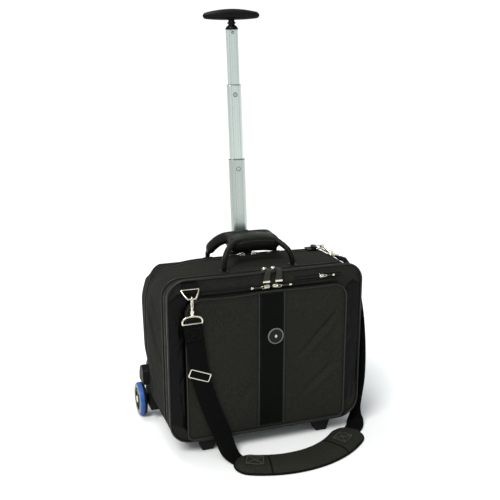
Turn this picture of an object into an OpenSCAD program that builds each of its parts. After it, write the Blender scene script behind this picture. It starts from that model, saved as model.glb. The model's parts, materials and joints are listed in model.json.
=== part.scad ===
// Rolling laptop case: soft zipped case body on a wheeled, telescoping trolley,
// with a padded carry handle and a clip-on padded shoulder strap.
// +X is the case's left-to-right (seen from the front), -Y is the front, +Z is up.

/* [Case body] */
// Half of the case width, without piping
body_hw = 211; // [205:1:214]
// Height of the underside of the soft body above the floor
body_z0 = 30; // [28:1:34]
// Height of the top of the soft body
body_z1 = 372; // [368:1:376]
// Radius of the lower corners, seen from the front
corner_low = 45; // [35:1:50]
// Radius of the upper corners, seen from the front
corner_top = 38; // [30:1:44]
// Thickness of the padded fabric walls
wall = 3; // [2.5:0.5:4]

/* [Front pocket] */
// Left edge of the front pocket
pocket_x0 = -176; // [-180:1:-170]
// Right edge of the front pocket
pocket_x1 = 171; // [165:1:174]
// Lower edge of the front pocket
pocket_z0 = 40; // [38:1:44]
// Upper edge of the front pocket
pocket_z1 = 343; // [338:1:346]
// Depth of the front pocket
pocket_d = 15; // [12:1:18]

/* [Trolley mast] */
// Backward lean of the mast
lean = 6.22; // [5:0.02:7]
// Width of the lowest moving tube
tube1_w = 36.5; // [36:0.5:38]
// Depth of the lowest moving tube
tube1_d = 21; // [20.5:0.5:22]
// Wall of each tube
tube_t = 1.4; // [1.2:0.1:1.6]
// Gap between one tube and the next, filled by the guide rings
tube_gap = 1.1; // [1:0.05:1.2]
// Width of the pull grip
grip_w = 118; // [110:1:124]

/* [Wheels] */
// Wheel radius
wheel_r = 37.8; // [36:0.2:38]
// Wheel width
wheel_w = 18; // [16:1:18]
// Radius of the fixed axle pin
axle_r = 4; // [3.5:0.25:4.5]
// Height of the front feet
foot_h = 26; // [26:1:26]

/* [Shoulder strap] */
// Width of the strap webbing
strap_w = 38; // [34:1:40]
// Thickness of the strap webbing
strap_t = 2; // [1.6:0.2:2.4]
// Width of the shoulder pad
pad_w = 66; // [60:1:68]
// Thickness of the shoulder pad
pad_t = 11; // [9:1:12]

/* [Hidden] */
$fn = 48;

y_off = -13.5;          // moves the case so that its box is centred on Y = 0
module at() translate([0, y_off, 0]) children();

// layers of the case, front to back
y_face = -104;          // front wall
y_zf0 = -76; y_zf1 = -58;   // front zip tape
y_zr0 = 50;  y_zr1 = 66;    // rear zip tape
back_tan = 0.109;
function back_y(z) = 82 + back_tan * (z - 100);

function arc(cx, cy, r, a0, a1, n) = [for (i = [0:n]) let (a = a0 + (a1 - a0) * i / n) [cx + r * cos(a), cy + r * sin(a)]];
// rounded outline: half width w, lower edge z0, upper edge z1
function outline(w, z0, z1, rb, rt) = concat(
  arc(w - rb, z0 + rb, rb, -90, 0, 6), arc(w - rt, z1 - rt, rt, 0, 90, 6),
  arc(-w + rt, z1 - rt, rt, 90, 180, 6), arc(-w + rb, z0 + rb, rb, 180, 270, 6));
// outline inset by d
function body2(d, zt) = outline(body_hw - d, body_z0 + d, zt - d, corner_low - d, corner_top - d);

module slab(y0, y1) translate([0, y1, 0]) rotate([90, 0, 0]) linear_extrude(y1 - y0) children();
module side(x0, x1) translate([x0, 0, 0]) rotate([90, 0, 90]) linear_extrude(x1 - x0) children();
module ring(y0, y1, zt, t = wall) slab(y0, y1) difference() { polygon(body2(0, zt)); polygon(body2(t, zt)); }
module slot2(w, d) { square([w - d, d], center = true); translate([(w - d) / 2, 0]) circle(d = d); translate([-(w - d) / 2, 0]) circle(d = d); }
// along the mast axis: s = 0 where the axis is 350 mm above the floor
mast_x = 5; mast_y = 84; mast_z = 350;
module mast(s = 0) translate([mast_x, mast_y, mast_z]) rotate([-lean, 0, 0]) translate([0, 0, s]) children();
module tube(w, d, t, s0, s1) mast(s0) linear_extrude(s1 - s0) difference() { slot2(w, d); slot2(w - 2 * t, d - 2 * t); }
module collar(wo, dd, wi, di, s0, s1) mast(s0) linear_extrude(s1 - s0) difference() { slot2(wo, dd); slot2(wi, di); }
t1w = tube1_w; t1d = tube1_d;
step = 2 * (tube_t + tube_gap);
t2w = t1w - step; t2d = t1d - step;
t3w = t2w - step; t3d = t2d - step;
h_iw = t1w + 2 * tube_gap; h_id = t1d + 2 * tube_gap;
h_ow = h_iw + 3.2; h_od = h_id + 3.2;
s_top1 = 228.3; s_top2 = 388.3; s_neck = 505;
guide_l = 30; bush_l = 12;

/* body */
module rear_outer() intersection() {
  slab(y_zr1, 130) polygon(body2(0, body_z1));
  side(-230, 230) polygon([[y_zr1, 20], [back_y(20), 20], [back_y(342), 342], [back_y(342) - 3, 352], [back_y(342) - 9, 360], [back_y(342) - 18, 365], [y_zr1, 372]]);
}
module rear_inner() intersection() {
  slab(y_zr1 - 1, 131) polygon(body2(wall, body_z1));
  side(-230, 230) polygon([[y_zr1 - 1, 20], [back_y(20) + 5, 20], [back_y(342) + 5, 339], [back_y(342) - 7, 351], [back_y(342) - 12, 357], [back_y(342) - 20, 361.5], [y_zr1 - 1, 369]]);
}
module housing_envelope(sx) for (i = [0]) mirror([sx > 0 ? 1 : 0, 0, 0])
  side(-213, -166) polygon([[68, 26], [108, 24], [120, 30], [126, 44], [127, 70], [122, 100], [108, 128], [back_y(150), 150], [68, 150]]);

module front_shell() color("#2b2724") at() {
  difference() {
    intersection() {
      slab(y_face, y_zf0) polygon(body2(0, 381));
      side(-230, 230) polygon([[y_face, 20], [y_zf0, 20], [y_zf0, body_z1], [y_face + 6, 381], [y_face, 381]]);
    }
    intersection() {
      slab(y_face + wall, y_zf0 + 1) polygon(body2(wall, 381));
      side(-230, 230) polygon([[y_face, 20], [y_zf0 + 1, 20], [y_zf0 + 1, body_z1 - wall], [y_face + 6, 381 - wall - 0.5], [y_face, 381 - wall - 0.5]]);
    }
  }
}
module main_shell() color("#2b2724") at() ring(y_zf1, y_zr0, body_z1);
module rear_shell() color("#2b2724") at() difference() {
  rear_outer();
  rear_inner();
  housing_envelope(-1);
  housing_envelope(1);
  mast(-20) linear_extrude(80) slot2(h_ow + 12, h_od + 8);
}
// moulded back plate, parallel to the mast
module back_panel() color("#1d1c1b") at() intersection() {
  difference() {
    translate([0, 82, 100]) rotate([-lean, 0, 0]) translate([0, 0, -100]) {
      slab(0, 4) polygon(outline(206, 52, 346, 8, 30));
      for (x = [-120, -60, 60, 120]) slab(4, 7) translate([x - 5, 70]) square([10, 230]);
    }
    housing_envelope(-1);
    housing_envelope(1);
  }
  side(-230, 230) polygon([[60, 30], [140, 30], [140, 345], [60, 345]]);
}
module base_tray() color("#1a1a1a") at() difference() {
  union() {
    translate([-164, -100, 26]) cube([328, 168, 4]);
    for (x = [-60, 0, 60]) translate([x - 4, -96, 22]) cube([8, 160, 4]);
  }
}
module divider_front() color("#34302c") at() slab(-69, -65) polygon(body2(wall, body_z1));
module laptop_sleeve() color("#3a3632") at() slab(-14, -8) polygon(outline(body_hw - wall, body_z0 + wall, 300, corner_low - wall, 10));
// panel that closes the trolley channel off from the laptop compartment
module trolley_liner() color("#34302c") at() difference() {
  intersection() {
    mast(0) translate([-mast_x, -h_od / 2 - 4, 0]) translate([-300, 0, -400]) cube([600, 3, 800]);
    union() { slab(0, y_zr1) polygon(body2(wall, body_z1)); rear_inner(); }
  }
  mast(4) linear_extrude(40) slot2(h_ow + 12.6, h_od + 8.6);
}
module zip_tape_front() color("#151412") at() slab(y_zf0, y_zf1) difference() { polygon(body2(0.5, body_z1)); polygon(body2(wall, body_z1)); }
module zip_tape_rear() color("#151412") at() slab(y_zr0, y_zr1) difference() { polygon(body2(0.5, body_z1)); polygon(body2(wall, body_z1)); }
module zip_tape_face() color("#151412") at() {
  translate([-140, y_face - 2, 345]) cube([292, 2, 12]);
  translate([60, y_face - 2, 357.8]) cube([100, 2, 8.4]);
}
module rim_piping() color("#1c1a18") at() slab(y_face - 4, y_face) difference() {
  polygon(outline(213.5, body_z0 - 0, 382, 47, 40));
  polygon(outline(208.5, body_z0 + 5, 377, 42, 35));
}
module pocket2(d) { polygon(concat(
  arc(pocket_x1 - 12, pocket_z0 + 12, 12 - d, -90, 0, 3), arc(pocket_x1 - 30, pocket_z1 - 30, 30 - d, 0, 90, 5),
  arc(pocket_x0 + 36, pocket_z1 - 36, 36 - d, 90, 180, 5), arc(pocket_x0 + 12, pocket_z0 + 12, 12 - d, 180, 270, 3))); }
module front_pocket() color("#2e2a26") at() difference() {
  union() {
    slab(y_face - pocket_d + 3, y_face) pocket2(0);
    slab(y_face - pocket_d, y_face - pocket_d + 3) pocket2(2);
  }
  slab(y_face - pocket_d + 2.5, y_face + 1) pocket2(4);
}
module centre_strip() color("#161514") at() slab(y_face - pocket_d - 2, y_face - pocket_d) translate([-24, 51]) square([54, 287]);
module badge() color("#3c3b3a") at() translate([11, y_face - pocket_d - 2, 248]) rotate([90, 0, 0]) { cylinder(r = 17, h = 2); translate([0, 0, 2]) difference() { cylinder(r = 17, h = 1.2); translate([0, 0, -1]) cylinder(r = 14.5, h = 4); } }
module trim_left() color("#1b1a18") at() slab(y_face - 1.5, y_face) polygon([[-207, 80], [-178, 60], [-178, 330], [-150, 352], [-190, 354], [-207, 338]]);
module trim_right() color("#1b1a18") at() slab(y_face - 1.5, y_face) polygon([[207, 80], [173, 60], [173, 330], [181, 345], [195, 345], [207, 330]]);

/* trolley wheels */
wx = 236; wy = 112.5;
module wheel_at(s) translate([s * (wx - wheel_w), wy, wheel_r]) rotate([0, s * 90, 0]) children();
module housing(s) at() difference() {
  union() {
    mirror([s > 0 ? 1 : 0, 0, 0]) {
      side(-213, -166) polygon([[68, 26], [108, 24], [120, 30], [126, 44], [127, 70], [122, 100], [108, 128], [back_y(150), 150], [68, 150]]);
      side(-226, -213) polygon([[86, 82], [128, 82], [127, 98], [118, 116], [100, 126], [88, 112]]);
    }
    translate([s * 217.6, wy, wheel_r]) rotate([0, -s * 90, 0]) cylinder(r = 10, h = 20);
  }
  mirror([s > 0 ? 1 : 0, 0, 0]) side(-209, -160) polygon([[72, 34], [104, 32], [112, 44], [112, 28 + 60], [100, 118], [80, 140], [72, 140]]);
  translate([s * 219, wy, wheel_r]) rotate([0, -s * 90, 0]) cylinder(r = axle_r, h = 20);
}
module wheel_housing_l() color("#1b1b1c") housing(-1);
module wheel_housing_r() color("#1b1b1c") housing(1);
module axle(s) at() translate([s * 199, wy, wheel_r]) rotate([0, s * 90, 0]) { cylinder(r = axle_r, h = 36.4); translate([0, 0, 36.4]) rotate_extrude() polygon([[0, 0], [8, 0], [8, 0.8], [6.8, 1.6], [0, 1.6]]); }
module axle_l() color("silver") axle(-1);
module axle_r_pin() color("silver") axle(1);
module tyre(s) at() wheel_at(s) rotate_extrude($fn = 72) polygon([[29, 1], [35.4, 1], [36.9, 2.4], [wheel_r, 5.5], [wheel_r, 12.5], [36.9, 15.6], [35.4, wheel_w - 1], [29, wheel_w - 1]]);
module tyre_l() color("#2f6fc4") tyre(-1);
module tyre_r() color("#2f6fc4") tyre(1);
module hub(s) at() wheel_at(s) difference() {
  rotate_extrude($fn = 72) polygon([[axle_r + 0.06, 0], [29, 0], [29, wheel_w - 1], [25, wheel_w - 1], [25, 12], [10, 13], [10, wheel_w - 1], [axle_r + 0.06, wheel_w - 1]]);
  for (i = [0:4]) rotate(i * 72 + 18) translate([17.5, 0, -1]) cylinder(r = 5.6, h = wheel_w + 2);
}
module hub_l() color("#7d8578") hub(-1);
module hub_r() color("#7d8578") hub(1);
module foot(x) at() difference() {
  slab(-98, -72) polygon([[x - 12, 0], [x + 12, 0], [x + 21, foot_h], [x - 21, foot_h]]);
}
module foot_l() color("#111111") foot(-130);
module foot_r() color("#111111") foot(130);

/* mast */
module mast_housing() color("#8d9094") at() tube(h_ow, h_od, 1.6, -300, 20);
module mast_collar() color("#161616") at() difference() {
  union() { mast(6) linear_extrude(20) slot2(h_ow + 12, h_od + 8); }
  mast(0) linear_extrude(20) slot2(h_ow, h_od);
  mast(-1) linear_extrude(40) slot2(t1w + 0.2, t1d + 0.2);
}
// hole for a snap button in the front wall of a tube
module button_bore(s, r) mast(s) rotate([90, 0, 0]) cylinder(r = r, h = 40);
b2 = s_top1 - 20; b3 = s_top2 - 20;
module stage_1() color("#c9cccf") at() difference() {
  tube(t1w, t1d, tube_t, 9.5 - guide_l, s_top1);
  button_bore(b2, 4.3);
}
module stage_2() color("#d0d3d6") at() difference() {
  tube(t2w, t2d, tube_t, s_top1 - bush_l - 0.5 - guide_l, s_top2);
  button_bore(b3, 4.3);
  button_bore(b2, 4.3);
}
module stage_3() color("#d6d9dc") at() difference() {
  tube(t3w, t3d, tube_t, s_top2 - bush_l - 0.5 - guide_l, s_neck);
  button_bore(b3, 4.3);
}
module bush(wo, dd, wi, di, s) union() {
  collar(wo - 2 * tube_t, dd - 2 * tube_t, wi + 0.2, di + 0.2, s - bush_l, s);
  collar(wo, dd, wi + 0.2, di + 0.2, s, s + 1.4);
}
// guide rings: the lower ring of each tube and the upper ring of the tube around it
module guide_1() color("#202020") at() { collar(h_iw - 0.2, h_id - 0.2, t1w, t1d, 9.5 - guide_l, 5); bush(t1w, t1d, t2w, t2d, s_top1); }
module guide_2() color("#202020") at() difference() {
  union() { collar(t1w - 2 * tube_t - 0.2, t1d - 2 * tube_t - 0.2, t2w, t2d, s_top1 - bush_l - 0.5 - guide_l, s_top1 - bush_l - 0.5); bush(t2w, t2d, t3w, t3d, s_top2); }
  button_bore(b2, 4.3);
}
module guide_3() color("#202020") at() difference() {
  collar(t2w - 2 * tube_t - 0.2, t2d - 2 * tube_t - 0.2, t3w, t3d, s_top2 - bush_l - 0.5 - guide_l, s_top2 - bush_l - 0.5);
  button_bore(b3, 4.3);
}
// snap button on a leaf spring inside the tube
module snap(s, dout, din) mast(s) {
  translate([0, -din / 2 + tube_t + 0.6, 0]) rotate([90, 0, 0]) cylinder(r = 4, h = dout / 2 - din / 2 + tube_t + 0.6, $fn = 32);
  translate([-3, -din / 2 + tube_t + 0.6, -22]) cube([6, 0.9, 27]);
  translate([-3, din / 2 - tube_t - 1, -22]) cube([6, 0.9, 22]);
  translate([-3, -din / 2 + tube_t + 0.6, -23]) cube([6, din - 2 * tube_t - 0.7, 1]);
}
module snap_2() color("#3a3a3a") at() snap(b2, t1d, t2d);
module snap_3() color("#3a3a3a") at() snap(b3, t2d, t3d);
module neck() color("#141414") at() mast(s_neck) rotate_extrude() polygon([[0, 0], [13.4, 0], [13.6, 3], [11, 7], [7, 10], [7, 12], [8.7, 13], [8.7, 16], [6.6, 17], [6.6, 20.5], [0, 20.5]]);
module grip() color("#141414") at() mast(s_neck + 21) hull() {
  translate([0, 0, 11]) scale([1, 1, 0.92]) sphere(r = 12.4, $fn = 32);
  for (s = [-1, 1]) translate([s * 30, 0, 10.5]) sphere(r = 9.6, $fn = 24);
  for (s = [-1, 1]) translate([s * (grip_w / 2 - 6), 0, 8.5]) sphere(r = 6, $fn = 24);
}

/* carry handle */
// tube along a route of points, with k sides
function unit(v) = v / norm(v);
function tangent(p, i) = unit(p[min(i + 1, len(p) - 1)] - p[max(i - 1, 0)]);
// points between route points on a smooth curve
function cr(a, b, c, d, t) = 0.5 * ((2 * b) + (c - a) * t + (2 * a - 5 * b + 4 * c - d) * t * t + (3 * b - a - 3 * c + d) * t * t * t);
function smooth(p, n) = [for (i = [0:len(p) - 2]) for (j = [0:n - 1]) cr(p[max(i - 1, 0)], p[i], p[i + 1], p[min(i + 2, len(p) - 1)], j / n), p[len(p) - 1]];
module sweep(p, w, ax, ay, k) {
  n = len(p);
  pts = [for (i = [0:n - 1]) let (t = tangent(p, i), u = unit(w[i] - (w[i] * t) * t), v = cross(t, u)) for (j = [0:k - 1]) let (a = 360 * (j + 0.5) / k) p[i] + ax * cos(a) * u + ay * sin(a) * v];
  faces = concat([[for (j = [0:k - 1]) j]], [for (i = [0:n - 2]) for (j = [0:k - 1]) let (a = i * k + j, b = i * k + (j + 1) % k) each [[a, a + k, b], [b, a + k, b + k]]], [[for (j = [k - 1:-1:0]) (n - 1) * k + j]]);
  polyhedron(points = pts, faces = faces, convexity = 6);
}
hf_route = [[-74, -44, 372], [-73.5, -43, 384], [-69, -38, 402], [-56, -26, 417], [-36, -13, 424], [5, -8, 425], [46, -13, 422], [66, -26, 412], [79, -38, 399], [83.5, -43, 384], [84, -44, 372]];
hr_route = [[-74, 78, 370], [-73, 76, 382], [-66, 68, 397], [-52, 54, 413], [-34, 38, 422], [5, 30, 425], [44, 38, 422], [62, 54, 413], [76, 68, 397], [83, 76, 382], [84, 78, 370]];
module loop_handle(r) let (p = smooth(r, 3)) sweep(p, [for (q = p) [0, 1, 0.2]], 6, 6, 10);
module handle_front() color("#2f2f2b") at() loop_handle(hf_route);
module handle_rear() color("#2f2f2b") at() loop_handle(hr_route);
wrap_route = [[-40, 11, 417], [-20, 11, 420], [5, 11, 421], [30, 11, 420], [50, 11, 417]];
module handle_wrap() color("#33332f") at() difference() {
  intersection() {
    side(-38, 48) polygon(concat(arc(-6, 421, 11, 90, 270, 6), arc(28, 421, 11.5, -90, 90, 6)));
    union() { translate([5, 0, 150]) rotate([90, 0, 0]) cylinder(r = 282.5, h = 120, center = true, $fn = 180); }
  }
  loop_handle(hf_route);
  loop_handle(hr_route);
}

/* zip sliders: body length along X, z up from the tape */
module zbody() { translate([-6, -4.5, 0]) cube([12, 9, 1.6]); translate([-1.2, -3, 1.6]) cube([2.4, 6, 1]); translate([-5, -4, 2.6]) cube([10, 8, 1.2]); }
// flat pull lying along X from a slider, d = -1 or 1
module zpull(d) { translate([d > 0 ? 4.5 : -11, -2.2, 1.7]) cube([6.5, 4.4, 2]); translate([d > 0 ? 11 : -31, -2.2, 2.1]) cube([20, 4.4, 1.4]); translate([d * 33, 0, 1.9]) cylinder(r = 3.2, h = 1.8); }
pin_y = -73.5; pin_z = 376.6;
module slider_front(x) at() {
  translate([x, -67, body_z1 - 0.1]) zbody();
  for (s = [-1, 1]) translate([x + s * 4.2 - 0.6, -75, 374.9]) cube([1.2, 6, 3.2]);
  translate([x - 4.8, pin_y, pin_z]) rotate([0, 90, 0]) cylinder(r = 0.9, h = 9.6, $fn = 24);
}
module slider_front_l() color("#e2dccb") slider_front(6);
module slider_front_r() color("#e2dccb") slider_front(25);
module pull_front(x) at() difference() {
  union() {
    translate([x - 3.2, pin_y, pin_z]) rotate([0, 90, 0]) cylinder(r = 1.9, h = 6.4, $fn = 24);
    side(x - 3.2, x + 3.2) polygon([[-82, 377.8], [pin_y, pin_z - 0.6], [pin_y, pin_z + 1.4], [-82, 380.2]]);
    side(x - 5, x + 5) polygon([[-80, 378.4], [-98, 383.2], [-109.4, 383.6], [-109.6, 368], [-111.8, 368], [-111.8, 385.4], [-98, 385.4], [-80, 380.6]]);
    side(x - 6.5, x + 6.5) polygon([[-109.2, 365], [-112.4, 365], [-112.4, 369], [-109.2, 369]]);
  }
  translate([x - 5, pin_y, pin_z]) rotate([0, 90, 0]) cylinder(r = 0.96, h = 10, $fn = 24);
}
module pull_front_l() color("#3a3936") pull_front(6);
module pull_front_r() color("#3a3936") pull_front(25);
module slider_rear_l() color("#e2dccb") at() translate([0, 58, body_z1 - 0.1]) { zbody(); zpull(-1); }
module slider_rear_r() color("#e2dccb") at() translate([26, 58, body_z1 - 0.1]) { zbody(); zpull(1); }
module on_face(x, z) at() translate([x, y_face - 2.4, z]) rotate([90, 0, 0]) children();
module slider_pocket_l() color("#e2dccb") on_face(-3, 351) { zbody(); zpull(-1); }
module slider_pocket_r() color("#e2dccb") on_face(15, 351) { zbody(); zpull(1); }
module slider_corner() color("#e2dccb") on_face(118, 362) { scale(0.8) zbody(); scale(0.8) zpull(1); }

/* strap rings and hooks */
module bar3(a, b, r) let (d = b - a, l = norm(d)) translate(a) rotate([0, acos(d[2] / l), atan2(d[1], d[0])]) cylinder(r = r, h = l, $fn = 20);
module wire(p, r) { for (i = [0:len(p) - 2]) bar3(p[i], p[i + 1], r); for (q = p) translate(q) sphere(r = r, $fn = 20); }
// round wire along an open route, and round a closed one; up is a direction across the route's plane
module rod(p, r, up, n = 2, k = 8) let (q = smooth(p, n)) sweep(q, [for (i = q) up], r, r, k);
module loop(p, r, up, k = 8) {
  n = len(p);
  pts = [for (i = [0:n - 1]) let (t = unit(p[(i + 1) % n] - p[(i + n - 1) % n]), u = unit(up - (up * t) * t), v = cross(t, u)) for (j = [0:k - 1]) let (a = 360 * (j + 0.5) / k) p[i] + r * cos(a) * u + r * sin(a) * v];
  faces = [for (i = [0:n - 1]) for (j = [0:k - 1]) let (m = (i + 1) % n, a = i * k + j, b = i * k + (j + 1) % k, c = m * k + j, d = m * k + (j + 1) % k) each [[a, c, b], [b, c, d]]];
  polyhedron(points = pts, faces = faces, convexity = 6);
}

// hook along -Z from its eye, then the swivel and the loop that holds the webbing
module snap_hook(turn) {
  rotate([0, 0, turn]) {
    loop([[0, 0, 3.5], [3.2, 0, 2.4], [5, 0, -1.5], [5, 0, -7], [4, 0, -14], [2.4, 0, -20], [0, 0, -23], [-2.4, 0, -20], [-4, 0, -14], [-5, 0, -7], [-5, 0, -1.5], [-3.2, 0, 2.4]], 1.8, [0, 1, 0]);
  }
  translate([0, 0, -36]) cylinder(r = 4.2, h = 12.5);
  loop([[-18, 0, -52], [-20, 0, -50], [-20, 0, -45], [-16, 0, -39.5], [-8, 0, -37], [0, 0, -36.5], [8, 0, -37], [16, 0, -39.5], [20, 0, -45], [20, 0, -50], [18, 0, -52], [0, 0, -52]], 1.9, [0, 1, 0]);
}
module ring_tab_l() color("#181716") at() difference() {
  translate([-182, -112.5, 361]) cube([32, 4.5, 16]);
  translate([-190, -111, 364.5]) rotate([0, 90, 0]) cylinder(r = 1.8, h = 60, $fn = 24);
}
ring_l_pts = [[-182, -111, 364.5], [-166, -111, 364.5], [-150, -111, 364.5], [-148.5, -112.5, 363], [-152, -119, 356.5], [-157, -125, 350.5], [-160, -126, 349.5], [-172, -126, 349.5], [-175, -125, 350.5], [-180, -119, 356.5], [-183.5, -112.5, 363]];
module ring_l() color("#e2dccb") at() loop(ring_l_pts, 1.7, [0, -1, -1]);
hook_l_at = [-166, -126, 349.7];
module hook_l() color("#e2dccb") at() translate(hook_l_at) snap_hook(62);
module ring_tab_r() color("#181716") at() difference() {
  union() { translate([152, 42, body_z1]) cube([17, 24, 3]); translate([167, 42, body_z1]) cube([7, 24, 7.4]); }
  translate([171, 30, 376]) rotate([-90, 0, 0]) cylinder(r = 1.8, h = 60, $fn = 24);
}
module ring_r() color("#e2dccb") at() loop([[171, 40, 376], [171, 54, 376], [171, 68, 376], [173, 69.5, 376.2], [183, 67, 377.2], [191, 61, 378], [194, 54, 378], [191, 47, 378], [183, 41, 377.2], [173, 38.5, 376.2]], 1.7, [0, 0, 1]);
hook_r_at = [184, 42.6, 377.6];
module hook_r() color("#e2dccb") at() translate(hook_r_at) rotate([0, 0, 18]) rotate([-79, 0, 0]) rotate([0, 0, 20]) snap_hook(45);
module adjuster() color("#d8d2c2") at() translate([-153, -127, 186]) rotate([0, 22, 0]) wire([[-22, 0, -8], [22, 0, -8], [22, 0, 8], [-22, 0, 8], [-22, 0, -8]], 1.5);

// shoulder strap: route points, and the direction across the webbing at each
strap_pts = [
  [-166, -126, 297], [-165, -127, 283], [-162, -127, 262], [-158, -127, 230], [-154, -127, 200], [-150, -127, 175], [-140, -127, 140], [-125, -127, 95],
  [-110, -128, 55], [-102, -132, 30], [-96, -142, 12], [-88, -158, 4], [-76, -176, 4.5],
  [-50, -194, 5.5], [-15, -204, 5.5], [25, -209, 5.5], [65, -204, 5.5], [100, -193, 5.5], [135, -174, 5.5], [160, -155, 5.5],
  [182, -134, 3.5], [204, -112, 3], [217, -96, 8], [223, -88, 24], [225, -90, 50], [227, -100, 85], [227, -109, 120], [227, -110, 160], [225, -102, 210], [224, -88, 260],
  [223, -70, 305], [220, -50, 336], [214, -32, 355], [206, -18, 365], [200, -9, 368]];
strap_across = [
  [1, 0, 0], [1, 0, 0], [1, 0, 0], [1, 0, 0], [1, 0, 0], [1, 0, 0.1], [1, 0, 0.3], [1, 0, 0.3],
  [1, 0, 0.3], [1, 0.1, 0.2], [1, 0.3, 0.1], [1, 0.8, 0], [0.6, 1, 0],
  [0.3, 1, 0], [0.2, 1, 0], [0, 1, 0], [-0.2, 1, 0], [-0.4, 1, 0], [-0.6, 1, 0], [-0.8, 1, 0],
  [-0.9, 0.9, 0], [-0.8, 1, 0], [-0.6, 1, 0.2], [-0.2, 1, 0], [0, 1, 0.2], [0, 1, 0.3], [0, 1, 0.1], [0, 1, -0.1], [0, 1, -0.2], [0, 1, -0.3],
  [0.1, 1, -0.4], [0.3, 1, -0.4], [0.7, 0.7, -0.5], [1, 0.3, -0.4], [1, 0.3, -0.4]];
module strap() color("#171615") at() let (p = smooth(strap_pts, 2), w = smooth(strap_across, 2)) sweep(p, w, strap_w / 2 * 1.08, strap_t / 2 * 1.08, 8);
pad_c = [22.8, -3.8]; pad_r = 205;
module shoulder_pad() color("#3b352f") at() translate([pad_c[0], pad_c[1], 0]) linear_extrude(pad_t)
  polygon(concat(arc(0, 0, pad_r + pad_w / 2, -115, -45, 14), arc(pad_r * cos(-45), pad_r * sin(-45), pad_w / 2, -45, 135, 8),
    arc(0, 0, pad_r - pad_w / 2, -45, -115, 14), arc(pad_r * cos(-115), pad_r * sin(-115), pad_w / 2, 65, 245, 8)));

front_shell();
main_shell();
rear_shell();
back_panel();
base_tray();
divider_front();
laptop_sleeve();
trolley_liner();
zip_tape_front();
zip_tape_rear();
zip_tape_face();
rim_piping();
front_pocket();
centre_strip();
badge();
trim_left();
trim_right();
wheel_housing_l();
wheel_housing_r();
axle_l();
axle_r_pin();
tyre_l();
hub_l();
tyre_r();
hub_r();
foot_l();
foot_r();
mast_housing();
mast_collar();
stage_1();
stage_2();
stage_3();
guide_1();
guide_2();
guide_3();
snap_2();
snap_3();
neck();
grip();
handle_front();
handle_rear();
handle_wrap();
slider_front_l();
slider_front_r();
pull_front_l();
pull_front_r();
slider_rear_l();
slider_rear_r();
slider_pocket_l();
slider_pocket_r();
slider_corner();
ring_tab_l();
ring_l();
ring_tab_r();
ring_r();
hook_l();
hook_r();
adjuster();
strap();
shoulder_pad();
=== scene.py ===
import math, json
import bpy, bmesh
from mathutils import Vector, Matrix, noise


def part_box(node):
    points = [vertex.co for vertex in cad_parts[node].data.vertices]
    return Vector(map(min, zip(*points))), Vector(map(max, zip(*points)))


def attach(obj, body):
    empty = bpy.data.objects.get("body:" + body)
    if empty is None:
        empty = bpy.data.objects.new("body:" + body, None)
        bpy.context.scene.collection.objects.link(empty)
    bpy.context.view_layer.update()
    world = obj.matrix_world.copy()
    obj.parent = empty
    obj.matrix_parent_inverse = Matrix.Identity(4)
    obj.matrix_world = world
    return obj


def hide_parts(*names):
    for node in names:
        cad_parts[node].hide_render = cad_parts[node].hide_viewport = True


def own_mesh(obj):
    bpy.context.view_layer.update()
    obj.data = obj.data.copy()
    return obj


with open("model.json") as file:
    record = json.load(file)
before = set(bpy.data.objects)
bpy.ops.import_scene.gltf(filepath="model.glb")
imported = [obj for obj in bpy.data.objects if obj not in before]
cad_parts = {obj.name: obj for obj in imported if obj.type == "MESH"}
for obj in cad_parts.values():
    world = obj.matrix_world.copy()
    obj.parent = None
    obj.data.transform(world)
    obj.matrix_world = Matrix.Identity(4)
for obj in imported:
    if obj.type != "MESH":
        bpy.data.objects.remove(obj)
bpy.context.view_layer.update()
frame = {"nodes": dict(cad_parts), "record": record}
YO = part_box("badge")[0][1] * 1000 + 124.2      # the shared frame's Y for the case's own Y = 0


def P(x, y, z):
    return (x / 1000, (y + YO) / 1000, z / 1000)


# ---------------------------------------------------------------- camera and light
YAW, PITCH = math.radians(19.299), math.radians(15.764)
fwd = Vector((math.sin(YAW) * math.cos(PITCH), math.cos(YAW) * math.cos(PITCH), -math.sin(PITCH)))
right = Vector((math.cos(YAW), -math.sin(YAW), 0))
up = right.cross(fwd)
cam_data = bpy.data.cameras.new("camera")
cam_data.sensor_width = 36
cam_data.lens = 812.756 / 500 * 36
cam = bpy.data.objects.new("camera", cam_data)
m = Matrix.Identity(4)
for i in range(3):
    m[i][0], m[i][1], m[i][2] = right[i], up[i], -fwd[i]
m.translation = Vector(P(-553.826, -1575.558, 871.145))
cam.matrix_world = m
bpy.context.scene.collection.objects.link(cam)
bpy.context.scene.camera = cam
bpy.context.scene.view_settings.view_transform = "Standard"
bpy.context.scene.view_settings.look = "None"


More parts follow.
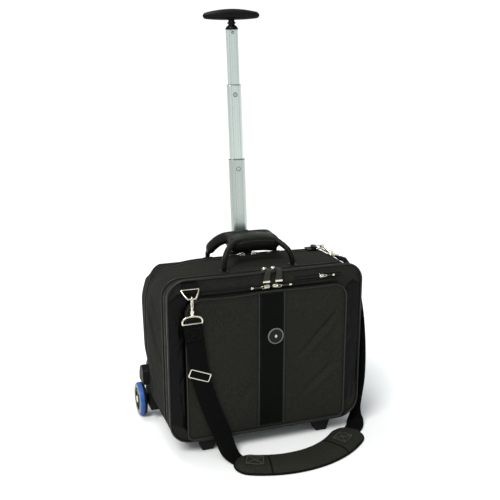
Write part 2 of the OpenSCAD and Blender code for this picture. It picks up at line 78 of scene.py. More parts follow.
# ---------------------------------------------------------------- node helpers
class Mat:
    def __init__(self, name, color, rough=0.6, metallic=0.0, **sockets):
        self.m = bpy.data.materials.new(name)
        self.m.use_nodes = True
        self.t = self.m.node_tree
        self.b = self.t.nodes["Principled BSDF"]
        self.color, self.rough = color, rough
        self.b.inputs["Base Color"].default_value = (*color, 1)
        self.b.inputs["Roughness"].default_value = rough
        self.b.inputs["Metallic"].default_value = metallic
        for k, v in sockets.items():
            self.b.inputs[k.replace("_", " ")].default_value = v
        tc = self.t.nodes.new("ShaderNodeTexCoord")
        self.pos = tc.outputs["Object"]
        self.height = None

    def node(self, kind, **props):
        n = self.t.nodes.new(kind)
        for k, v in props.items():
            setattr(n, k, v)
        return n

    def link(self, a, b):
        self.t.links.new(a, b)

    def noise(self, scale, detail=3, rough=0.55, stretch=None):
        n = self.node("ShaderNodeTexNoise")
        n.inputs["Scale"].default_value = scale
        n.inputs["Detail"].default_value = detail
        n.inputs["Roughness"].default_value = rough
        v = self.pos
        if stretch:
            mp = self.node("ShaderNodeMapping")
            mp.inputs["Scale"].default_value = stretch
            self.link(self.pos, mp.inputs["Vector"])
            v = mp.outputs[0]
        self.link(v, n.inputs["Vector"])
        return n.outputs["Fac"]

    def voronoi(self, scale, feature="F1", out="Distance"):
        n = self.node("ShaderNodeTexVoronoi", feature=feature)
        n.inputs["Scale"].default_value = scale
        self.link(self.pos, n.inputs["Vector"])
        return n.outputs[out]

    def math(self, op, a, b=None, clamp=False):
        n = self.node("ShaderNodeMath", operation=op, use_clamp=clamp)
        for i, v in enumerate((a, b)):
            if v is None:
                continue
            if isinstance(v, (int, float)):
                n.inputs[i].default_value = v
            else:
                self.link(v, n.inputs[i])
        return n.outputs[0]

    def ramp(self, fac, lo, hi, a, b):
        n = self.node("ShaderNodeMapRange")
        n.inputs["From Min"].default_value = lo
        n.inputs["From Max"].default_value = hi
        n.inputs["To Min"].default_value = a
        n.inputs["To Max"].default_value = b
        self.link(fac, n.inputs["Value"])
        return n.outputs[0]

    def mix(self, fac, a, b):
        n = self.node("ShaderNodeMix", data_type="RGBA")
        ins = [s for s in n.inputs if s.type == "RGBA"]
        for s, v in zip(ins, (a, b)):
            if isinstance(v, tuple):
                s.default_value = (*v, 1)
            else:
                self.link(v, s)
        self.link(fac, n.inputs[0])
        return [s for s in n.outputs if s.type == "RGBA"][0]

    def axis(self, name):
        s = self.node("ShaderNodeSeparateXYZ")
        self.link(self.pos, s.inputs[0])
        return s.outputs[name]

    def wave(self, coord, period, phase=0.0):
        # 0..1 wave along a coordinate in metres
        v = self.math("MULTIPLY", coord, 2 * math.pi / period)
        if phase:
            v = self.math("ADD", v, phase)
        return self.math("ADD", self.math("MULTIPLY", self.math("SINE", v), 0.5), 0.5)

    def bump(self, height, strength=0.3, distance=0.001):
        n = self.node("ShaderNodeBump")
        n.inputs["Strength"].default_value = strength
        n.inputs["Distance"].default_value = distance
        self.link(height, n.inputs["Height"])
        if self.height is not None:
            self.link(self.height, n.inputs["Normal"])
        self.height = n.outputs[0]
        self.link(self.height, self.b.inputs["Normal"])

    def base(self, socket):
        self.link(socket, self.b.inputs["Base Color"])

    def rough_to(self, socket):
        self.link(socket, self.b.inputs["Roughness"])


def weave_height(M, period=0.0011, jitter=0.25):
    """A basket weave on the two largest directions of the surface: X and Z on the front, Y and Z on the sides, X and Y on top."""
    x, y, z = M.axis("X"), M.axis("Y"), M.axis("Z")
    g = M.node("ShaderNodeNewGeometry")
    s = M.node("ShaderNodeSeparateXYZ")
    M.link(g.outputs["Normal"], s.inputs[0])
    ax = M.math("ABSOLUTE", s.outputs[0])
    ay = M.math("ABSOLUTE", s.outputs[1])
    az = M.math("ABSOLUTE", s.outputs[2])
    # u: X unless the surface faces X; v: Z unless the surface faces Z
    facing_x = M.math("GREATER_THAN", ax, M.math("MAXIMUM", ay, az))
    facing_z = M.math("GREATER_THAN", az, M.math("MAXIMUM", ax, ay))

    def pick(f, a, b):
        return M.math("ADD", M.math("MULTIPLY", f, b), M.math("MULTIPLY", M.math("SUBTRACT", 1.0, f), a))
    u = pick(facing_x, x, y)
    v = pick(facing_z, z, y)
    wob = M.math("MULTIPLY", M.noise(160, 2), period * jitter)
    u = M.math("ADD", u, wob)
    v = M.math("ADD", v, wob)
    a = M.wave(u, period * 2)
    b = M.wave(v, period * 2)
    checker = M.math("ABSOLUTE", M.math("SUBTRACT", a, b))
    fine = M.math("MULTIPLY", M.wave(u, period * 0.5), 0.25)
    return M.math("ADD", checker, fine)


def fabric(name, color, light, period=0.0011, bump=0.5, rough=0.82, sheen=0.0):
    M = Mat(name, color, rough, Sheen_Weight=sheen, Sheen_Roughness=0.45, Specular_IOR_Level=0.05)
    M.b.inputs["Sheen Tint"].default_value = (*light, 1)
    w = weave_height(M, period)
    cloud = M.noise(14, 4, 0.6)
    mott = M.noise(90, 3, 0.6)
    speck = M.ramp(M.noise(420, 2, 0.7), 0.3, 0.7, -0.30, 0.30)
    f = M.math("ADD", M.math("ADD", M.math("MULTIPLY", w, 0.42), speck), M.math("MULTIPLY", M.math("ADD", cloud, mott), 0.28), clamp=True)
    M.base(M.mix(f, tuple(c * 0.62 for c in color), light))
    M.rough_to(M.ramp(mott, 0.3, 0.7, rough - 0.07, rough + 0.07))
    M.bump(cloud, 0.25, 0.004)
    M.bump(w, bump, 0.00045)
    return M.m


def leather(name, color, light, rough=0.42, grain=900, bump=0.35, crease=0.25):
    M = Mat(name, color, rough, Specular_IOR_Level=0.1)
    cells = M.voronoi(grain, "DISTANCE_TO_EDGE")
    cells = M.ramp(cells, 0.0, 0.25, 0.0, 1.0)
    fold = M.noise(38, 4, 0.62)
    soft = M.noise(9, 3, 0.5)
    M.base(M.mix(M.math("MULTIPLY", M.math("ADD", M.math("MULTIPLY", cells, 0.5), soft), 0.6, clamp=True), color, light))
    M.rough_to(M.ramp(fold, 0.3, 0.7, rough - 0.08, rough + 0.12))
    M.bump(fold, crease, 0.003)
    M.bump(cells, bump, 0.00018)
    return M.m


def plastic(name, color, rough=0.45, texture=1500, bump=0.15, edge=0.15):
    M = Mat(name, color, rough, Specular_IOR_Level=0.12)
    n = M.noise(texture, 2)
    big = M.noise(22, 3)
    M.base(M.mix(M.ramp(big, 0.35, 0.7, 0, 1), color, tuple(min(1, c * 1.5 + 0.004) for c in color)))
    M.rough_to(M.ramp(big, 0.3, 0.7, rough - 0.06, rough + 0.1))
    M.bump(n, bump, 0.0002)
    return M.m


def metal(name, color, rough=0.2, brushed=None):
    M = Mat(name, color, rough, 1.0)
    big = M.noise(60, 3)
    M.rough_to(M.ramp(big, 0.3, 0.7, rough * 0.75, rough * 1.5))
    if brushed:
        line = M.noise(400, 3, 0.6, stretch=brushed)
        M.bump(line, 0.12, 0.0003)
        M.base(M.mix(M.ramp(line, 0.3, 0.7, 0, 1), tuple(c * 0.86 for c in color), color))
    else:
        M.base(M.mix(M.ramp(big, 0.3, 0.7, 0, 1), tuple(c * 0.8 for c in color), color))
        M.bump(M.noise(240, 2), 0.05, 0.0004)
    return M.m


NYLON = fabric("ballistic_nylon", (0.0108, 0.0106, 0.0085), (0.0265, 0.0262, 0.0212))
LINING = fabric("lining", (0.03, 0.028, 0.025), (0.05, 0.047, 0.042), 0.0008)
TAPE = fabric("zip_tape", (0.0075, 0.0076, 0.0066), (0.0165, 0.0165, 0.0140), 0.0007, 0.4)
LEATHER = leather("leatherette", (0.0008, 0.0013, 0.0009), (0.0026, 0.0036, 0.0026), 0.5)
LEATHER.node_tree.nodes["Principled BSDF"].inputs["Specular IOR Level"].default_value = 0.05
LEATHER_TRIM = leather("leatherette_trim", (0.0006, 0.0008, 0.0007), (0.0022, 0.0026, 0.0022), 0.3, 700, 0.15, 0.5)
LEATHER_TRIM.node_tree.nodes["Principled BSDF"].inputs["Specular IOR Level"].default_value = 0.10
HANDLE = leather("handle_leatherette", (0.0020, 0.0023, 0.0009), (0.0068, 0.0073, 0.0036), 0.34, 800, 0.3, 0.3)
HANDLE.node_tree.nodes["Principled BSDF"].inputs["Specular IOR Level"].default_value = 0.14
PIPE = leather("piping", (0.0045, 0.0046, 0.0040), (0.0125, 0.0125, 0.0105), 0.36, 1200, 0.3, 0.2)
PIPE.node_tree.nodes["Principled BSDF"].inputs["Specular IOR Level"].default_value = 0.3
PULL = leather("pull_leatherette", (0.016, 0.017, 0.014), (0.040, 0.041, 0.034), 0.5, 900, 0.3, 0.3)
MOULD = plastic("moulded_black", (0.0026, 0.0028, 0.0026), 0.5, 1800, 0.3)
FOOTM = plastic("foot_plastic", (0.0038, 0.0038, 0.0032), 0.55, 1400, 0.3)
GRIPM = plastic("grip_plastic", (0.0012, 0.0015, 0.0012), 0.36, 1600, 0.2)
GUIDE = plastic("guide_plastic", (0.012, 0.012, 0.012), 0.4)
BADGE = plastic("badge_plastic", (0.0060, 0.0068, 0.0058), 0.3, 2200, 0.12)
CHROME = metal("hardware_metal", (0.86, 0.80, 0.66), 0.16)
STEEL = metal("pin_steel", (0.72, 0.73, 0.72), 0.25)
THREAD = fabric("thread", (0.012, 0.012, 0.010), (0.030, 0.030, 0.025), 0.0006, 0.3, 0.7)
THREAD_LIGHT = fabric("thread_light", (0.06, 0.06, 0.05), (0.14, 0.14, 0.12), 0.0006, 0.3, 0.7)


def webbing_mat(name, color, light):
    # ribbed webbing: herringbone along the strap by surface position
    M = Mat(name, color, 0.72, Specular_IOR_Level=0.04)
    w = weave_height(M, 0.0016, 0.15)
    n = M.noise(50, 4)
    M.base(M.mix(M.math("ADD", M.math("MULTIPLY", w, 0.5), M.math("MULTIPLY", n, 0.4), clamp=True), color, light))
    M.bump(w, 0.7, 0.0006)
    return M.m


WEB = webbing_mat("webbing", (0.0010, 0.0013, 0.0011), (0.0044, 0.0050, 0.0044))
PADM = fabric("pad_fabric", (0.0135, 0.0138, 0.0100), (0.0310, 0.0312, 0.0245), 0.0014, 0.8)
PADB = fabric("pad_binding", (0.0025, 0.0027, 0.0022), (0.0075, 0.0078, 0.0066), 0.0009, 0.6)


def aluminium(name, gain):
    M = Mat(name, (0.62 * gain, 0.70 * gain, 0.65 * gain), 0.32, 1.0)
    x = M.axis("X")
    off = M.math("ABSOLUTE", M.math("SUBTRACT", x, 0.005))
    # narrow grooves along the tube, darkened as painted shade and given a bump; two fine dark lines near the middle as
    # painted reflection lines; a darker left side as painted shade; and stretched brushing noise
    d = M.math("ABSOLUTE", M.math("SUBTRACT", off, 0.0078))
    groove = M.ramp(d, 0.0002, 0.0009, 1.0, 0.0)
    groove = M.math("MAXIMUM", M.math("MINIMUM", groove, 1.0), 0.0)
    d2 = M.math("ABSOLUTE", M.math("SUBTRACT", off, 0.0030))
    fine = M.math("MAXIMUM", M.math("MINIMUM", M.ramp(d2, 0.0002, 0.0012, 1.0, 0.0), 1.0), 0.0)
    shaded_flank = M.math("MAXIMUM", M.math("MINIMUM", M.ramp(x, -0.0095, -0.0035, 1.0, 0.0), 1.0), 0.0)
    line = M.noise(300, 3, 0.6, stretch=(3, 3, 0.05))
    # painted shade and painted reflection bands mixed into the base colour, together with the real brushing
    dark = M.math("ADD", M.math("MULTIPLY", groove, 0.42), M.math("ADD", M.math("MULTIPLY", fine, 0.12), M.math("ADD", M.math("MULTIPLY", shaded_flank, 0.34), M.math("MULTIPLY", line, 0.22))), clamp=True)
    M.base(M.mix(dark, (0.80 * gain, 0.875 * gain, 0.82 * gain), (0.20, 0.235, 0.22)))
    M.rough_to(M.ramp(line, 0.3, 0.7, 0.26, 0.4))
    M.bump(M.math("SUBTRACT", 1.0, groove), 0.4, 0.0004)
    return M.m


ALU = aluminium("mast_aluminium", 0.86)
ALU_UPPER = aluminium("mast_aluminium_upper", 1.12)


def tyre_mat():
    M = Mat("tyre_blue", (0.02, 0.10, 0.36), 0.5, Specular_IOR_Level=0.4)
    n = M.noise(70, 4)
    d = M.noise(700, 3)
    M.base(M.mix(M.ramp(n, 0.3, 0.75, 0, 1), (0.008, 0.050, 0.24), (0.028, 0.130, 0.48)))
    M.rough_to(M.ramp(n, 0.3, 0.7, 0.42, 0.62))
    M.bump(d, 0.2, 0.0003)
    return M.m


def hub_mat():
    M = Mat("hub_plastic", (0.14, 0.165, 0.10), 0.4, 0.35)
    n = M.noise(60, 3)
    M.base(M.mix(M.ramp(n, 0.3, 0.7, 0, 1), (0.11, 0.135, 0.08), (0.22, 0.25, 0.17)))
    M.bump(M.noise(1400, 2), 0.2, 0.0002)
    return M.m


TYRE, HUB = tyre_mat(), hub_mat()
# a much darker copy of the hub plastic: painted shade for the hub body seen in the recess behind the face ring and ribs
HUB_SHADE = plastic("hub_painted_shade", (0.020, 0.024, 0.015), 0.45)
BADGE_RING = plastic("badge_ring", (0.11, 0.12, 0.10), 0.35, 1800, 0.1)
BADGE_MARK = plastic("badge_mark", (0.50, 0.52, 0.46), 0.3, 1800, 0.1)
WHITE_TAG = fabric("care_tag", (0.42, 0.42, 0.40), (0.6, 0.6, 0.57), 0.0006, 0.3)


# ---------------------------------------------------------------- mesh helpers
def make(name, verts, faces, mat, body="root", slot=None, smooth=True, replaces=(), mm=True, sub=0):
    me = bpy.data.meshes.new(name)
    me.from_pydata([P(*v) for v in verts] if mm else verts, [], faces)
    bm = bmesh.new()
    bm.from_mesh(me)
    bmesh.ops.remove_doubles(bm, verts=bm.verts, dist=1e-6)
    bmesh.ops.recalc_face_normals(bm, faces=bm.faces)
    bm.to_mesh(me)
    bm.free()
    me.materials.append(mat)
    o = bpy.data.objects.new(name, me)
    bpy.context.scene.collection.objects.link(o)
    for p in me.polygons:
        p.use_smooth = smooth
    if sub:
        md = o.modifiers.new("sub", "SUBSURF")
        md.levels = md.render_levels = sub
    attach(o, body)
    if replaces:
        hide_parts(*replaces)
    return o


def hard(o, angle=35):
    """Shade smooth but keep edges sharper than angle."""
    me = o.data
    bm = bmesh.new()
    bm.from_mesh(me)
    lim = math.radians(angle)
    for e in bm.edges:
        e.smooth = not (len(e.link_faces) == 2 and e.calc_face_angle(0) > lim)
    for f in bm.faces:
        f.smooth = True
    bm.to_mesh(me)
    bm.free()
    return o


def bevel(o, w, seg=3, angle=30):
    md = o.modifiers.new("bevel", "BEVEL")
    md.width = w / 1000
    md.segments = seg
    md.limit_method = "ANGLE"
    md.angle_limit = math.radians(angle)
    md.harden_normals = False
    hard(o, 60)
    return o


def V(p):
    return Vector(p)


def catmull(pts, n, closed=False):
    out = []
    k = len(pts)
    last = k if closed else k - 1
    for i in range(last):
        if closed:
            a, b, c, d = pts[(i - 1) % k], pts[i], pts[(i + 1) % k], pts[(i + 2) % k]
        else:
            a, b, c, d = pts[max(i - 1, 0)], pts[i], pts[i + 1], pts[min(i + 2, k - 1)]
        a, b, c, d = map(V, (a, b, c, d))
        for j in range(n):
            t = j / n
            out.append(0.5 * ((2 * b) + (c - a) * t + (2 * a - 5 * b + 4 * c - d) * t * t + (3 * b - a - 3 * c + d) * t ** 3))
    if not closed:
        out.append(V(pts[-1]))
    return out


def sweep(pts, section, across=None, closed=False, scale=None, cap=True):
    """verts, faces of a section [(u, v)] swept along pts. across gives the direction of u."""
    n = len(pts)
    k = len(section)
    verts, faces = [], []
    prev = None
    for i, p in enumerate(pts):
        if closed:
            t = (pts[(i + 1) % n] - pts[(i - 1) % n]).normalized()
        else:
            t = (pts[min(i + 1, n - 1)] - pts[max(i - 1, 0)]).normalized()
        if across is not None:
            a = V(across[i]) if not isinstance(across, Vector) else across
        elif prev is not None:
            a = prev
        else:
            a = Vector((0, 0, 1)) if abs(t.z) < 0.9 else Vector((1, 0, 0))
        u = (a - a.dot(t) * t).normalized()
        prev = u
        v = t.cross(u)
        s = scale[i] if scale else 1.0
        for (su, sv) in section:
            verts.append(p + u * su * s + v * sv * s)
    rows = n if closed else n - 1
    for i in range(rows):
        for j in range(k):
            a, b = i * k + j, i * k + (j + 1) % k
            c, d = ((i + 1) % n) * k + j, ((i + 1) % n) * k + (j + 1) % k
            faces.append((a, b, d, c))
    if cap and not closed:
        faces.append(tuple(range(k)))
        faces.append(tuple((n - 1) * k + j for j in range(k)))
    return verts, faces


def circle(r, k=10, ry=None):
    ry = r if ry is None else ry
    return [(r * math.cos(2 * math.pi * (j + 0.5) / k), ry * math.sin(2 * math.pi * (j + 0.5) / k)) for j in range(k)]


def flat_section(w, t, k=4):
    """Rounded flat section: width w, thickness t."""
    out = []
    r = t / 2
    for cx, a0 in ((w / 2 - r, -90), (-w / 2 + r, 90)):
        for j in range(k + 1):
            a = math.radians(a0 + 180 * j / k)
            out.append((cx + r * math.cos(a), r * math.sin(a)))
    return out


def join(parts):
    verts, faces = [], []
    for v, f in parts:
        o = len(verts)
        verts += list(v)
        faces += [tuple(i + o for i in g) for g in f]
    return verts, faces


def block(x0, x1, y0, y1, z0, z1):
    v = [(x, y, z) for x in (x0, x1) for y in (y0, y1) for z in (z0, z1)]
    f = [(0, 1, 3, 2), (4, 6, 7, 5), (0, 4, 5, 1), (2, 3, 7, 6), (0, 2, 6, 4), (1, 5, 7, 3)]
    return v, f


def lathe(profile, n, M4):
    """profile [(r, h)] turned about +Z, placed by the matrix M4 (mm)."""
    verts, faces = [], []
    for i in range(n):
        a = 2 * math.pi * i / n
        for r, h in profile:
            verts.append(M4 @ Vector((r * math.cos(a), r * math.sin(a), h)))
    k = len(profile)
    for i in range(n):
        for j in range(k - 1):
            faces.append((i * k + j, ((i + 1) % n) * k + j, ((i + 1) % n) * k + j + 1, i * k + j + 1))
    return verts, faces


def T(x, y, z):
    return Matrix.Translation((x, y, z))


def R(axis, deg):
    return Matrix.Rotation(math.radians(deg), 4, axis)


def smoothstep(a, b, x):
    t = min(1.0, max(0.0, (x - a) / (b - a)))
    return t * t * (3 - 2 * t)


def nz(x, y, z, s):
    return noise.noise(Vector((x / s, y / s, z / s)))


# ---------------------------------------------------------------- case outline
HW, Z0, ZT = 211.0, 30.0, 372.0


def outline(w, z0, z1, rb, rt, n=240):
    """n points (x, z, nx, nz) evenly round the rounded outline, from the middle of the lower edge anticlockwise seen from the front."""
    segs = []
    segs.append(("l", (0, z0), (w - rb, z0), (0, -1)))
    segs.append(("a", (w - rb, z0 + rb), rb, -90, 0))
    segs.append(("l", (w, z0 + rb), (w, z1 - rt), (1, 0)))
    segs.append(("a", (w - rt, z1 - rt), rt, 0, 90))
    segs.append(("l", (w - rt, z1), (-w + rt, z1), (0, 1)))
    segs.append(("a", (-w + rt, z1 - rt), rt, 90, 180))
    segs.append(("l", (-w, z1 - rt), (-w, z0 + rb), (-1, 0)))
    segs.append(("a", (-w + rb, z0 + rb), rb, 180, 270))
    segs.append(("l", (-w + rb, z0), (0, z0), (0, -1)))
    L = []
    for s in segs:
        L.append(math.dist(s[1], s[2]) if s[0] == "l" else s[2] * math.radians(s[4] - s[3]))
    tot = sum(L)
    out = []
    for i in range(n):
        d = tot * i / n
        for s, l in zip(segs, L):
            if d <= l:
                f = d / l
                if s[0] == "l":
                    out.append((s[1][0] + (s[2][0] - s[1][0]) * f, s[1][1] + (s[2][1] - s[1][1]) * f, s[3][0], s[3][1]))
                else:
                    a = math.radians(s[3] + (s[4] - s[3]) * f)
                    out.append((s[1][0] + s[2] * math.cos(a), s[1][1] + s[2] * math.sin(a), math.cos(a), math.sin(a)))
                break
            d -= l
    return out


def body_outline(d=0.0, zt=ZT, n=240):
    return outline(HW - d, Z0 + d, zt - d, 45 - d, 38 - d, n)


def skin(name, rings, mat, **kw):
    """rings: lists of points (x, y, z), all of one length, joined in turn."""
    verts = [soft(*p) for r in rings for p in r]
    k = len(rings[0])
    faces = []
    for i in range(len(rings) - 1):
        for j in range(k):
            a, b = i * k + j, i * k + (j + 1) % k
            faces.append((a, b, b + k, a + k))
    return make(name, verts, faces, mat, **kw)


N = 360


def soft(x, y, z):
    """The upper back corners of the soft body slump inward and down, most of all at the left."""
    a = 12.0 * smoothstep(-60, 95, y) * smoothstep(98, 207, abs(x)) * smoothstep(270, 368, z) * (1.0 if x < 0 else 0.25)
    b = 5.0 * smoothstep(60, 84, y) * smoothstep(330, 365, z)
    if x < 0:
        x -= 9.5 * smoothstep(-45, 45, y) * smoothstep(95, 190, z) * (1 - smoothstep(285, 368, z)) * smoothstep(120, 205, -x)
    return (x - math.copysign(a * 0.55, x), y, z - a - b)


def crease(y, z, y0, z0, ang, width, length, depth):
    """A sharp fold at (y0, z0) running along ang in a plane."""
    ca, sa = math.cos(math.radians(ang)), math.sin(math.radians(ang))
    a = (y - y0) * ca + (z - z0) * sa
    b = -(y - y0) * sa + (z - z0) * ca
    return depth * math.exp(-(b / width) ** 2) * math.exp(-(a / length) ** 4)


def gusset(x, y, z, nx, nzz, bulge, t):
    """Outward shift of the gusset fabric: soft puff plus slack folds, strongest on the side walls."""
    sidew = abs(nx)
    s = bulge * math.sin(math.pi * t)
    s += 0.9 * nz(x, y * 1.3, z, 55) * (0.3 + 0.7 * sidew)
    if sidew > 0.5:
        s += crease(y, z, 5, 240, 62, 5, 46, -3.6) + crease(y, z, -28, 205, 50, 4, 34, -3.2)
        s += crease(y, z, 18, 150, 75, 6, 40, -2.4) + crease(y, z, -5, 300, 40, 6, 26, -2.4) + crease(y, z, 26, 262, 66, 3.5, 30, 2.2)
        s += crease(y, z, -12, 110, 30, 6, 30, -1.3)
    if nzz > 0.5:
        s += crease(x, y, -120, 0, 20, 6, 40, -0.9) + crease(x, y, 130, 6, -25, 6, 40, -0.9) + 0.6 * nz(x, y, 3, 40)
    return s


def side_rings(y0, y1, count, bulge, d0=0.0, zt=None, seed=0, ends=1.2):
    rings = []
    for i in range(count + 1):
        t = i / count
        y = y0 + (y1 - y0) * t
        z1 = zt(y) if zt else ZT
        ring = []
        e = ends * (math.exp(-(t * (y1 - y0) / 3.0) ** 2) + math.exp(-((1 - t) * (y1 - y0) / 3.0) ** 2))
        for (x, z, nx, nzz) in body_outline(d0, z1, N):
            s = gusset(x, y + seed, z, nx, nzz, bulge, t) - e
            ring.append((x + nx * s, y, z + nzz * s))
        rings.append(ring)
    return rings


def ztop_front(y):
    return ZT + 9 * smoothstep(-76, -99, y) if y < -76 else ZT


# front compartment: gusset, rolled edge and front wall
rings = side_rings(-76, -101.5, 9, 1.2, zt=lambda y: ZT + 9 * smoothstep(76, 98, -y))
for d, y in ((1.0, -103.4), (3.5, -104.6), (8, -105.0), (20, -105.0), (34, -105.0)):
    rings.append([(x, y - 0.7 * nz(x, 7, z, 45), z) for (x, z, a, b) in body_outline(d, 381, N)])
for k in (0.8, 0.55, 0.3, 0.05):
    rings.append([(x * k * 0.84, -105.0, 205 + (z - 205) * k * 0.8) for (x, z, a, b) in body_outline(0, 381, N)])
skin("front_compartment", rings, NYLON, slot="nylon", replaces=("front_shell",))

# main compartment gusset
skin("main_compartment", side_rings(-58, 50, 22, 1.6), NYLON, slot="nylon", replaces=("main_shell",))


def back_y(z):
    return 82 + 0.109 * (z - 100)


# rear compartment: gusset that follows the leaning back, with rounded shoulders
rings = []
base = body_outline(0, ZT, N)
for i in range(15):
    t = i / 14
    ring = []
    for (x, z, nx, nzz) in base:
        Yb = back_y(min(z, 342)) if z > 342 else back_y(z)
        R_top = 20 * max(0.0, nzz) + 6 * (1 - max(0.0, nzz))
        s0 = 0.55
        depth = Yb - 66
        flat = max(depth - R_top, depth * 0.3)
        if t < s0:
            y = 66 + flat * t / s0
            ins = 0.0
        else:
            s = (t - s0) / (1 - s0)
            y = 66 + flat + (depth - flat) * math.sin(s * math.pi / 2)
            ins = R_top * (1 - math.cos(s * math.pi / 2))
        drop = max(0.0, nzz) * 6.0 * smoothstep(66, 96, y)
        g = 0.5 * nz(x, y, z, 40) + 0.8 * math.sin(math.pi * min(1, t / s0)) if t < s0 else 0.0
        ring.append((x + nx * (g - ins), y, z + nzz * (g - ins) - drop))
    rings.append(ring)
rings.append([(x * 0.93, y + 0.3, 200 + (z - 200) * 0.93) for (x, y, z) in rings[-1]])
rear = skin("rear_compartment", rings, NYLON, slot="nylon", replaces=("rear_shell",))
# opening in the top for the mast, under its collar
MAST0 = (Matrix.Translation((5, 84, 350)) @ Matrix.Rotation(math.radians(-6.22), 4, "X")).inverted()
bm = bmesh.new()
bm.from_mesh(rear.data)
gone = []
for fc in bm.faces:
    c = fc.calc_center_median() * 1000
    q = MAST0 @ Vector((c.x, c.y - YO, c.z))
    ax = max(0.0, abs(q.x) - 9.0)
    if q.z > -25 and math.hypot(ax, q.y) < 15.2:
        gone.append(fc)
bmesh.ops.delete(bm, geom=gone, context="FACES")
bm.to_mesh(rear.data)
bm.free()


# ---------------------------------------------------------------- zips
def zip_band(name, y0, y1, node):
    ym = (y0 + y1) / 2
    rings = []
    prof = [(y0 - 0.6, 1.2), (y0, -0.2), (y0 + 1.6, 0.1), (y0 + 2.6, -0.4), (y0 + 3.0, -1.7), (ym - 2.2, -2.0), (ym, -1.8), (ym + 2.2, -2.0), (y1 - 3.0, -1.7), (y1 - 2.6, -0.4), (y1 - 1.6, 0.1), (y1, -0.2), (y1 + 0.6, 1.2)]
    prof = [(y, -abs(d) if i in (0, 12) else d) for i, (y, d) in enumerate(prof)]
    for y, d in prof:
        rings.append([(x + nx * (d - 0.5), y, z + nzz * (d - 0.5)) for (x, z, nx, nzz) in body_outline(0, ZT, N)])
    skin(name, rings, TAPE, slot="zip_tape", replaces=(node,))
    parts = []
    pts = outline(HW - 1.6, Z0 + 1.6, ZT - 1.6, 43.4, 36.4, 720)
    for i, (x, z, nx, nzz) in enumerate(pts):
        s = -1 if i % 2 else 1
        p = Vector(soft(x, ym + s * 0.7, z))
        n = Vector((nx, 0, nzz))
        t = Vector((-nzz, 0, nx))
        w = []
        for a, b, c in ((-1, -1, -1), (1, -1, -1), (1, 1, -1), (-1, 1, -1), (-1, -1, 1), (1, -1, 1), (1, 1, 1), (-1, 1, 1)):
            w.append(p + t * a * 0.62 * (0.8 if c > 0 else 1) + Vector((0, 1, 0)) * b * 1.5 * (0.85 if c > 0 else 1) + n * (c * 0.55 - 0.1))
        parts.append((w, [(0, 1, 2, 3), (4, 7, 6, 5), (0, 4, 5, 1), (1, 5, 6, 2), (2, 6, 7, 3), (3, 7, 4, 0)]))
    v, f = join(parts)
    make(name + "_teeth", v, f, GUIDE, slot="zip_tape", smooth=False)


zip_band("front_zip", -76, -58, "zip_tape_front")
zip_band("rear_zip", 50, 66, "zip_tape_rear")


def piping(name, d, y, r, z1=ZT, mat=None, zt=None, slot="leatherette", replaces=(), sag=0.5):
    pts = []
    for (x, z, nx, nzz) in body_outline(d, z1, N):
        pts.append(Vector(soft(x + 0.3 * nx * nz(x, y, z, 30), y + sag * nz(x, y + 90, z, 38), z + 0.3 * nzz * nz(x, y, z, 30))))
    v, f = sweep(pts, circle(r, 8), across=Vector((0, 1, 0)), closed=True)
    return make(name, v, f, mat or PIPE, slot=slot, replaces=replaces)


piping("rim_piping_front", 0.2, -105.2, 2.3, 381.5, replaces=("rim_piping",))
piping("rim_piping_second", 0.6, -97.6, 1.5, 380.2)
piping("front_zip_edge_a", 0.3, -77.5, 1.35, 372.4)
piping("front_zip_edge_b", 0.3, -56.8, 1.35)
piping("rear_zip_edge_a", 0.3, 49.0, 1.3)
piping("rear_zip_edge_b", 0.3, 67.0, 1.3)

# pocket and upper zips on the front face
def face_zip(name, x0, x1, z, h, droop=0.0, curve=None):
    """Flat zip on the front face with two tape flaps and teeth."""
    n = 60
    rows = []
    ys = [(-h / 2, -105.2), (-h / 2 + 0.4, -106.6), (-h / 2 + 2.4, -107.0), (-1.9, -106.8), (-1.6, -106.0), (0, -106.2), (1.6, -106.0), (1.9, -106.8), (h / 2 - 2.4, -107.0), (h / 2 - 0.4, -106.6), (h / 2, -105.2)]
    verts, faces = [], []
    for i in range(n + 1):
        x = x0 + (x1 - x0) * i / n
        dz = curve(x) if curve else 0.0
        for (dh, y) in ys:
            verts.append((x, y - 0.25 * nz(x, dh, z, 16), z + dz + dh))
    k = len(ys)
    for i in range(n):
        for j in range(k - 1):
            faces.append((i * k + j, (i + 1) * k + j, (i + 1) * k + j + 1, i * k + j + 1))
    make(name, verts, faces, TAPE, slot="zip_tape")
    parts = []
    m = int(abs(x1 - x0) / 1.7)
    for i in range(m):
        x = x0 + (x1 - x0) * (i + 0.5) / m
        dz = curve(x) if curve else 0.0
        s = 0.5 if i % 2 else -0.5
        parts.append(block(x - 0.55, x + 0.55, -107.0, -105.9, z + dz + s - 1.3, z + dz + s + 1.3))
    v, f = join(parts)
    make(name + "_teeth", v, f, GUIDE, slot="zip_tape", smooth=False)


PX0, PX1, PZ0, PZ1 = -176.0, 171.0, 40.0, 343.0
face_zip("pocket_zip", -142, 154, 351, 11.5)
face_zip("upper_zip", 58, 162, 362, 8.2)
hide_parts("zip_tape_face")


